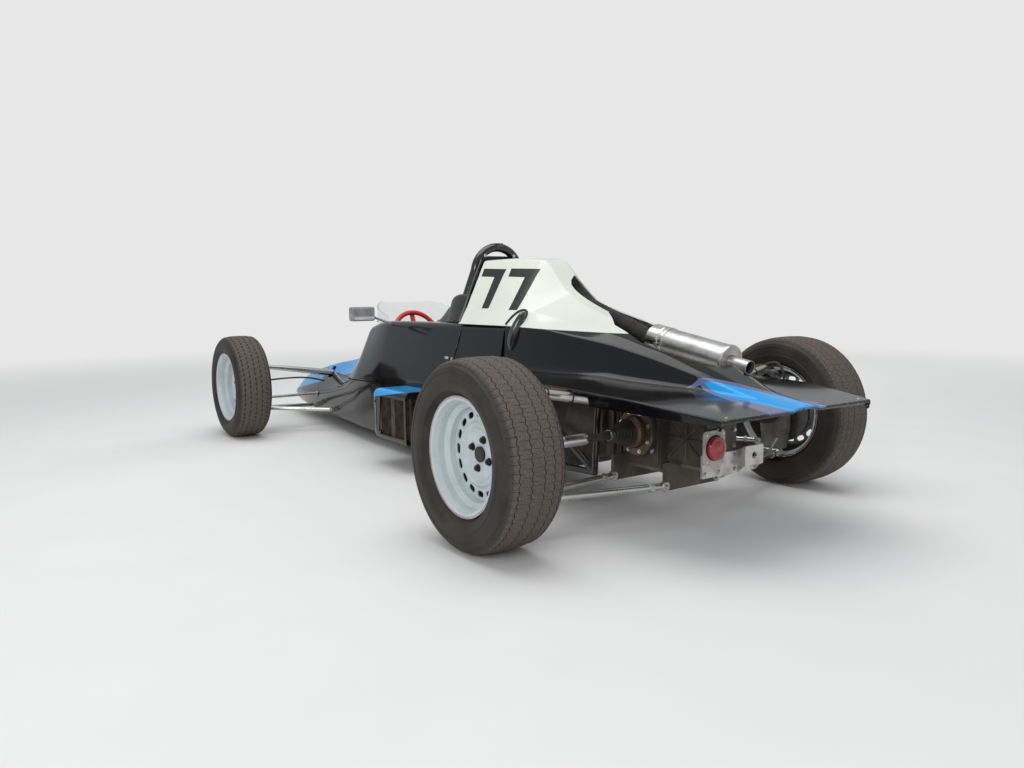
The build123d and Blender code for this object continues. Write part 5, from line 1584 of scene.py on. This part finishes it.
# Suspension: plated tubes and fabricated rocker arms, cast uprights, rod ends with bolts, and
# hard brake lines tied along the rear rockers with short hoses at the wheels.
upright_alloy = finish("cast_upright", (0.36, 0.35, 0.33), (0.19, 0.175, 0.155), 0.45, 0.65, metal=0.8, dust=0.45, scale=18.0, grain=200.0, bump=0.45, depth=0.001)
rack_alloy = finish("rack_alloy", (0.42, 0.41, 0.39), (0.26, 0.24, 0.21), 0.4, 0.55, metal=0.85, dust=0.35, scale=18.0, bump=0.3)
ground_bar = finish("ground_bar_steel", (0.60, 0.60, 0.60), (0.36, 0.34, 0.31), 0.16, 0.3, metal=1.0, dust=0.15, scale=40.0)
brake_copper = finish("brake_line_copper", (0.42, 0.20, 0.09), (0.17, 0.10, 0.06), 0.32, 0.5, metal=0.9, dust=0.25, scale=40.0)
hose_rubber = finish("brake_hose_rubber", (0.016, 0.016, 0.016), (0.04, 0.037, 0.034), 0.5, 0.7, dust=0.25, scale=40.0)
wear(silver_tube, "front_rockers", "rear_rockers", "front_wishbones", "rear_wishbones", "radius_rods")
wear(upright_alloy, "rear_uprights", "front_knuckle_left", "front_knuckle_right")
wear(rack_alloy, "rack_housing")
wear(ground_bar, "rack_bar")


def make_suspension_details():
    for side, name in ((1, "left"), (-1, "right")):
        bolts(f"rear_pivot_nuts_{name}", [(side * 0.150, REAR_Y + 0.052, 0.388)], (0, 1, 0), 0.009, 0.010, bright_zinc)
        bolts(f"rear_pivot_heads_{name}", [(side * 0.150, REAR_Y - 0.052, 0.388)], (0, -1, 0), 0.009, 0.010, bright_zinc)
        bolts(f"front_pivot_nuts_{name}", [(side * 0.106, -1.13 + 0.058, 0.301)], (0, 1, 0), 0.008, 0.009, bright_zinc)
        bolts(f"rear_lower_nuts_{name}", [(side * 0.622, REAR_Y + 0.044, 0.133)], (0, 1, 0), 0.010, 0.010, bright_zinc)
        bolts(f"rear_lower_heads_{name}", [(side * 0.622, REAR_Y - 0.044, 0.133)], (0, -1, 0), 0.010, 0.010, bright_zinc)
        feet = [(side * 0.240, -1.235, 0.118), (side * 0.252, -0.965, 0.118)]
        bolts(f"front_foot_nuts_{name}", [(x, y + 0.014, z) for x, y, z in feet], (0, 1, 0), 0.008, 0.008, bright_zinc)
        eyes = []
        for sy, in_x, in_y in ((-0.020, 0.150, -0.070), (0.026, 0.122, 0.150)):
            a = Vector((side * 0.616, REAR_Y + sy, 0.133))
            b = Vector((side * in_x, REAR_Y + in_y, 0.130))
            run = (b - a).normalized()
            collar = soften([(0.0, 0.012), (0.0, 0.0155), (0.018, 0.0155), (0.018, 0.012)], 0.001)
            tag = f"{name}_{'front' if sy < 0 else 'rear'}"
            turned_piece(f"arm_locknut_{tag}", b - run * 0.060, b, collar, bright_zinc, columns=6, sharp=20)
            ball = soften([(-0.009, 0.006), (-0.009, 0.017), (0.009, 0.017), (0.009, 0.006)], 0.003)
            turned_piece(f"arm_rod_end_{tag}", b, b + Vector((0, 1, 0)), ball, bright_zinc, columns=28)
            bolts(f"arm_end_bolt_{tag}", [b + Vector((0, 0.009, 0))], (0, 1, 0), 0.008, 0.008, bright_zinc)
            collar = soften([(0.0, 0.012), (0.0, 0.0150), (0.022, 0.0150), (0.022, 0.012)], 0.001)
            turned_piece(f"arm_tip_collar_{tag}", a + run * 0.026, b, collar, bright_zinc, columns=28)
        for z, z_front, x_front in ((0.385, 0.300, 0.322), (0.170, 0.150, 0.304)):
            a = Vector((side * 0.620, REAR_Y - 0.062, z))
            b = Vector((side * x_front, 0.452, z_front))
            tag = f"{name}_{'upper' if z > 0.3 else 'lower'}"
            nut = soften([(0.0, 0.009), (0.0, 0.0125), (0.012, 0.0125), (0.012, 0.009)], 0.0008)
            turned_piece(f"rod_locknut_{tag}_rear", a + (b - a).normalized() * 0.045, b, nut, bright_zinc, columns=6, sharp=20)
            turned_piece(f"rod_locknut_{tag}_front", b + (a - b).normalized() * 0.045, a, nut, bright_zinc, columns=6, sharp=20)
            ball = soften([(-0.008, 0.005), (-0.008, 0.016), (0.008, 0.016), (0.008, 0.005)], 0.003)
            turned_piece(f"rod_end_{tag}", a, a + Vector((0, 0, 1)), ball, bright_zinc, columns=28)
        line = [(side * x, REAR_Y - 0.012, z) for x, z in (
            (0.10, 0.412), (0.16, 0.4125), (0.33, 0.4415), (0.45, 0.4625), (0.560, 0.4835), (0.588, 0.478),
        )]
        tube(f"brake_line_{name}", line, 0.0026, brake_copper)
        for i, (x, z) in enumerate(((0.20, 0.397), (0.30, 0.415), (0.40, 0.433), (0.50, 0.452))):
            tie = soften([(-0.0025, 0.0200), (-0.0025, 0.0212), (0.0025, 0.0212), (0.0025, 0.0200)], 0.0003)
            turned_piece(f"line_tie_{name}_{i}", (side * x, REAR_Y, z), (side * (x + 0.1), REAR_Y, z + 0.018), tie, hose_rubber, columns=28)
        loop = [(side * 0.588, REAR_Y - 0.012, 0.478), (side * 0.600, REAR_Y + 0.02, 0.492), (side * 0.596, REAR_Y + 0.055, 0.478),
                (side * 0.600, REAR_Y + 0.072, 0.43), (side * 0.622, REAR_Y + 0.03, 0.40), (side * 0.630, REAR_Y - 0.06, 0.36),
                (side * 0.640, REAR_Y - 0.095, 0.330)]
        tube(f"brake_hose_{name}", loop, 0.0052, hose_rubber)
        front_loop = [(side * 0.255, -1.05, 0.275), (side * 0.33, -1.02, 0.30), (side * 0.45, -1.03, 0.31), (side * 0.555, -1.07, 0.30)]
        tube(f"front_brake_hose_{name}", front_loop, 0.0048, hose_rubber)
        link = [(side * 0.56, 1.345, 0.139), (side * 0.56, 1.455, 0.181)]
        tube(f"damper_link_{name}", [(side * 0.585, 1.362, 0.150), (side * 0.585, 1.395, 0.200)], 0.006, silver_tube, smooth=False)


make_suspension_details()

# Rear lamp, jacking plate and the plate that carries them behind the gearbox.
lens_red, tree, shader = new_material("red_lens")
place = node(tree, "TexCoord").outputs["Object"]
prisms = node(tree, "TexVoronoi", {"Vector": place, "Scale": 190.0}, feature="DISTANCE_TO_EDGE").outputs[0]
faded_red = effect(tree, "patches", Scale=40.0, Low=0.4, High=0.8)
tree.links.new(tint(tree, faded_red, (0.42, 0.006, 0.008, 1), (0.30, 0.010, 0.010, 1)), shader.inputs["Base Color"])
shader.inputs["Roughness"].default_value = 0.16
shader.inputs["Coat Weight"].default_value = 0.8
shader.inputs["Subsurface Weight"].default_value = 0.1
bumped(tree, shader, prisms, 0.5, 0.0012)
pale_plate = finish("pale_lamp_plate", (0.50, 0.49, 0.45), (0.30, 0.27, 0.23), 0.4, 0.6, dust=0.4, scale=30.0)
brushed_plate = finish("machined_alloy_plate", (0.58, 0.58, 0.57), (0.38, 0.36, 0.33), 0.28, 0.45, metal=0.9, dust=0.3, scale=22.0, grain=600.0)
wear(brushed_plate, "tail_bracket")


def make_lamp():
    x, z, y = 0.050, 0.272, 1.636
    corners = [(x - 0.050, z - 0.054, 0.016), (x + 0.050, z - 0.054, 0.016), (x + 0.050, z + 0.056, 0.016), (x - 0.050, z + 0.056, 0.016)]
    outline = rounded(corners, [1] * 4, True)
    surface = bmesh.new()
    back = [surface.verts.new((p.x, 1.630, p.y)) for p in outline]
    face = surface.faces.new(back)
    made = bmesh.ops.extrude_face_region(surface, geom=[face])
    bmesh.ops.translate(surface, vec=(0, 0.006, 0), verts=[v for v in made["geom"] if isinstance(v, bmesh.types.BMVert)])
    plate = as_piece("lamp_plate", surface, bevel=0.0012)
    plate.data.materials.append(pale_plate)
    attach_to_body(plate, "chassis")
    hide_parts("tail_lamp")
    seal = soften([(0.0, 0.030), (0.0, 0.041), (0.004, 0.041), (0.005, 0.038), (0.005, 0.030)], 0.0008)
    turned_piece("lamp_seal", (x, y, z), (x, y + 1, z), seal, rubber_edge)
    lens = [(0.003, 0.0)]
    lens += [(0.003, 0.0385), (0.012, 0.0385), (0.0165, 0.036), (0.0175, 0.030)]
    for i in range(5):
        r = 0.027 - 0.0052 * i
        lens += [(0.0185 + 0.0003 * i, r), (0.0175 + 0.0004 * i, r - 0.0022)]
    lens += [(0.0198, 0.0)]
    turned_piece("lamp_lens", (x, y, z), (x, y + 1, z), lens, lens_red, sharp=25)
    bolts("lamp_screws", [(x - 0.038, y, z + 0.044), (x + 0.038, y, z + 0.044), (x - 0.038, y, z - 0.042), (x + 0.038, y, z - 0.042)], (0, 1, 0), 0.0038, 0.003, bright_zinc)
    bolts("back_plate_bolts", [(-0.055, 1.630, 0.236), (-0.055, 1.630, 0.190), (0.020, 1.630, 0.190), (0.085, 1.630, 0.190)], (0, 1, 0), 0.0055, 0.006, bright_zinc)
    tube("lamp_wire", [(x + 0.03, 1.632, z + 0.05), (x + 0.035, 1.612, z + 0.085), (x + 0.02, 1.56, z + 0.105), (x, 1.50, z + 0.115)], 0.0028, hose_rubber)


make_lamp()

# Small fastenings on the skins: cover latches with their pull wires, shut-line cables, deck
# pins and the two screws in the black behind the stripe.


def make_fastenings():
    """Latches and screws set on the body's own surface."""
    for side, name in ((1, "left"), (-1, "right")):
        surface = bmesh.new()
        for y, z, wide, tall in ((0.395, 0.497, 0.030, 0.011), (0.437, 0.494, 0.012, 0.014)):
            x = skin_x(y, z) * side
            at = Matrix.Translation((x + side * 0.003, y, z)) @ Matrix.Diagonal((0.008, wide, tall, 1))
            bmesh.ops.create_cube(surface, size=1, matrix=at)
        latch = as_piece(f"cover_latch_{name}", surface, bevel=0.0015)
        latch.data.materials.append(bright_zinc)
        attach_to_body(latch, "chassis")
        wire = [(side * (skin_x(0.445 + 0.026 * t, z) + 0.002), 0.445 + 0.026 * t, z) for t, z in ((i / 6, 0.497 + 0.115 * i / 6) for i in range(7))]
        tube(f"latch_wire_{name}", wire, 0.0016, hoop_bracket)
    heads = [(0.178, 1.385, 0.0), (0.165, 1.425, 0.0)]
    surface = bmesh.new()
    tree_of_tail = BVHTree.FromObject(tail_piece, bpy.context.evaluated_depsgraph_get())
    for x, y in ((0.042, 1.20), (0.010, 1.22), (0.385, 1.88), (-0.385, 1.88), (0.31, 1.90), (-0.31, 1.90)):
        hit, normal, _, _ = tree_of_tail.ray_cast(Vector((x, y, 1.5)), Vector((0, 0, -1)))
        if hit is None:
            continue
        turn = Vector((0, 0, 1)).rotation_difference(normal).to_matrix().to_4x4()
        bmesh.ops.create_cone(surface, cap_ends=True, segments=20, radius1=0.0065, radius2=0.005, depth=0.0025, matrix=Matrix.Translation(hit) @ turn)
    screws = as_piece("deck_screws", surface, sharp=30)
    screws.data.materials.append(bright_zinc)
    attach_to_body(screws, "chassis")


def skin_x(y, z):
    """Half width of the body's side at a height, by going round its section."""
    points = [p for p in body_section(y) if p.x > 0]
    for a, b in zip(points[:-1], points[1:]):
        if (a.z - z) * (b.z - z) <= 0 and abs(a.z - b.z) > 1e-9 and max(a.x, b.x) > 0.15:
            return a.x + (b.x - a.x) * (z - a.z) / (b.z - a.z)
    return 0.27


make_fastenings()
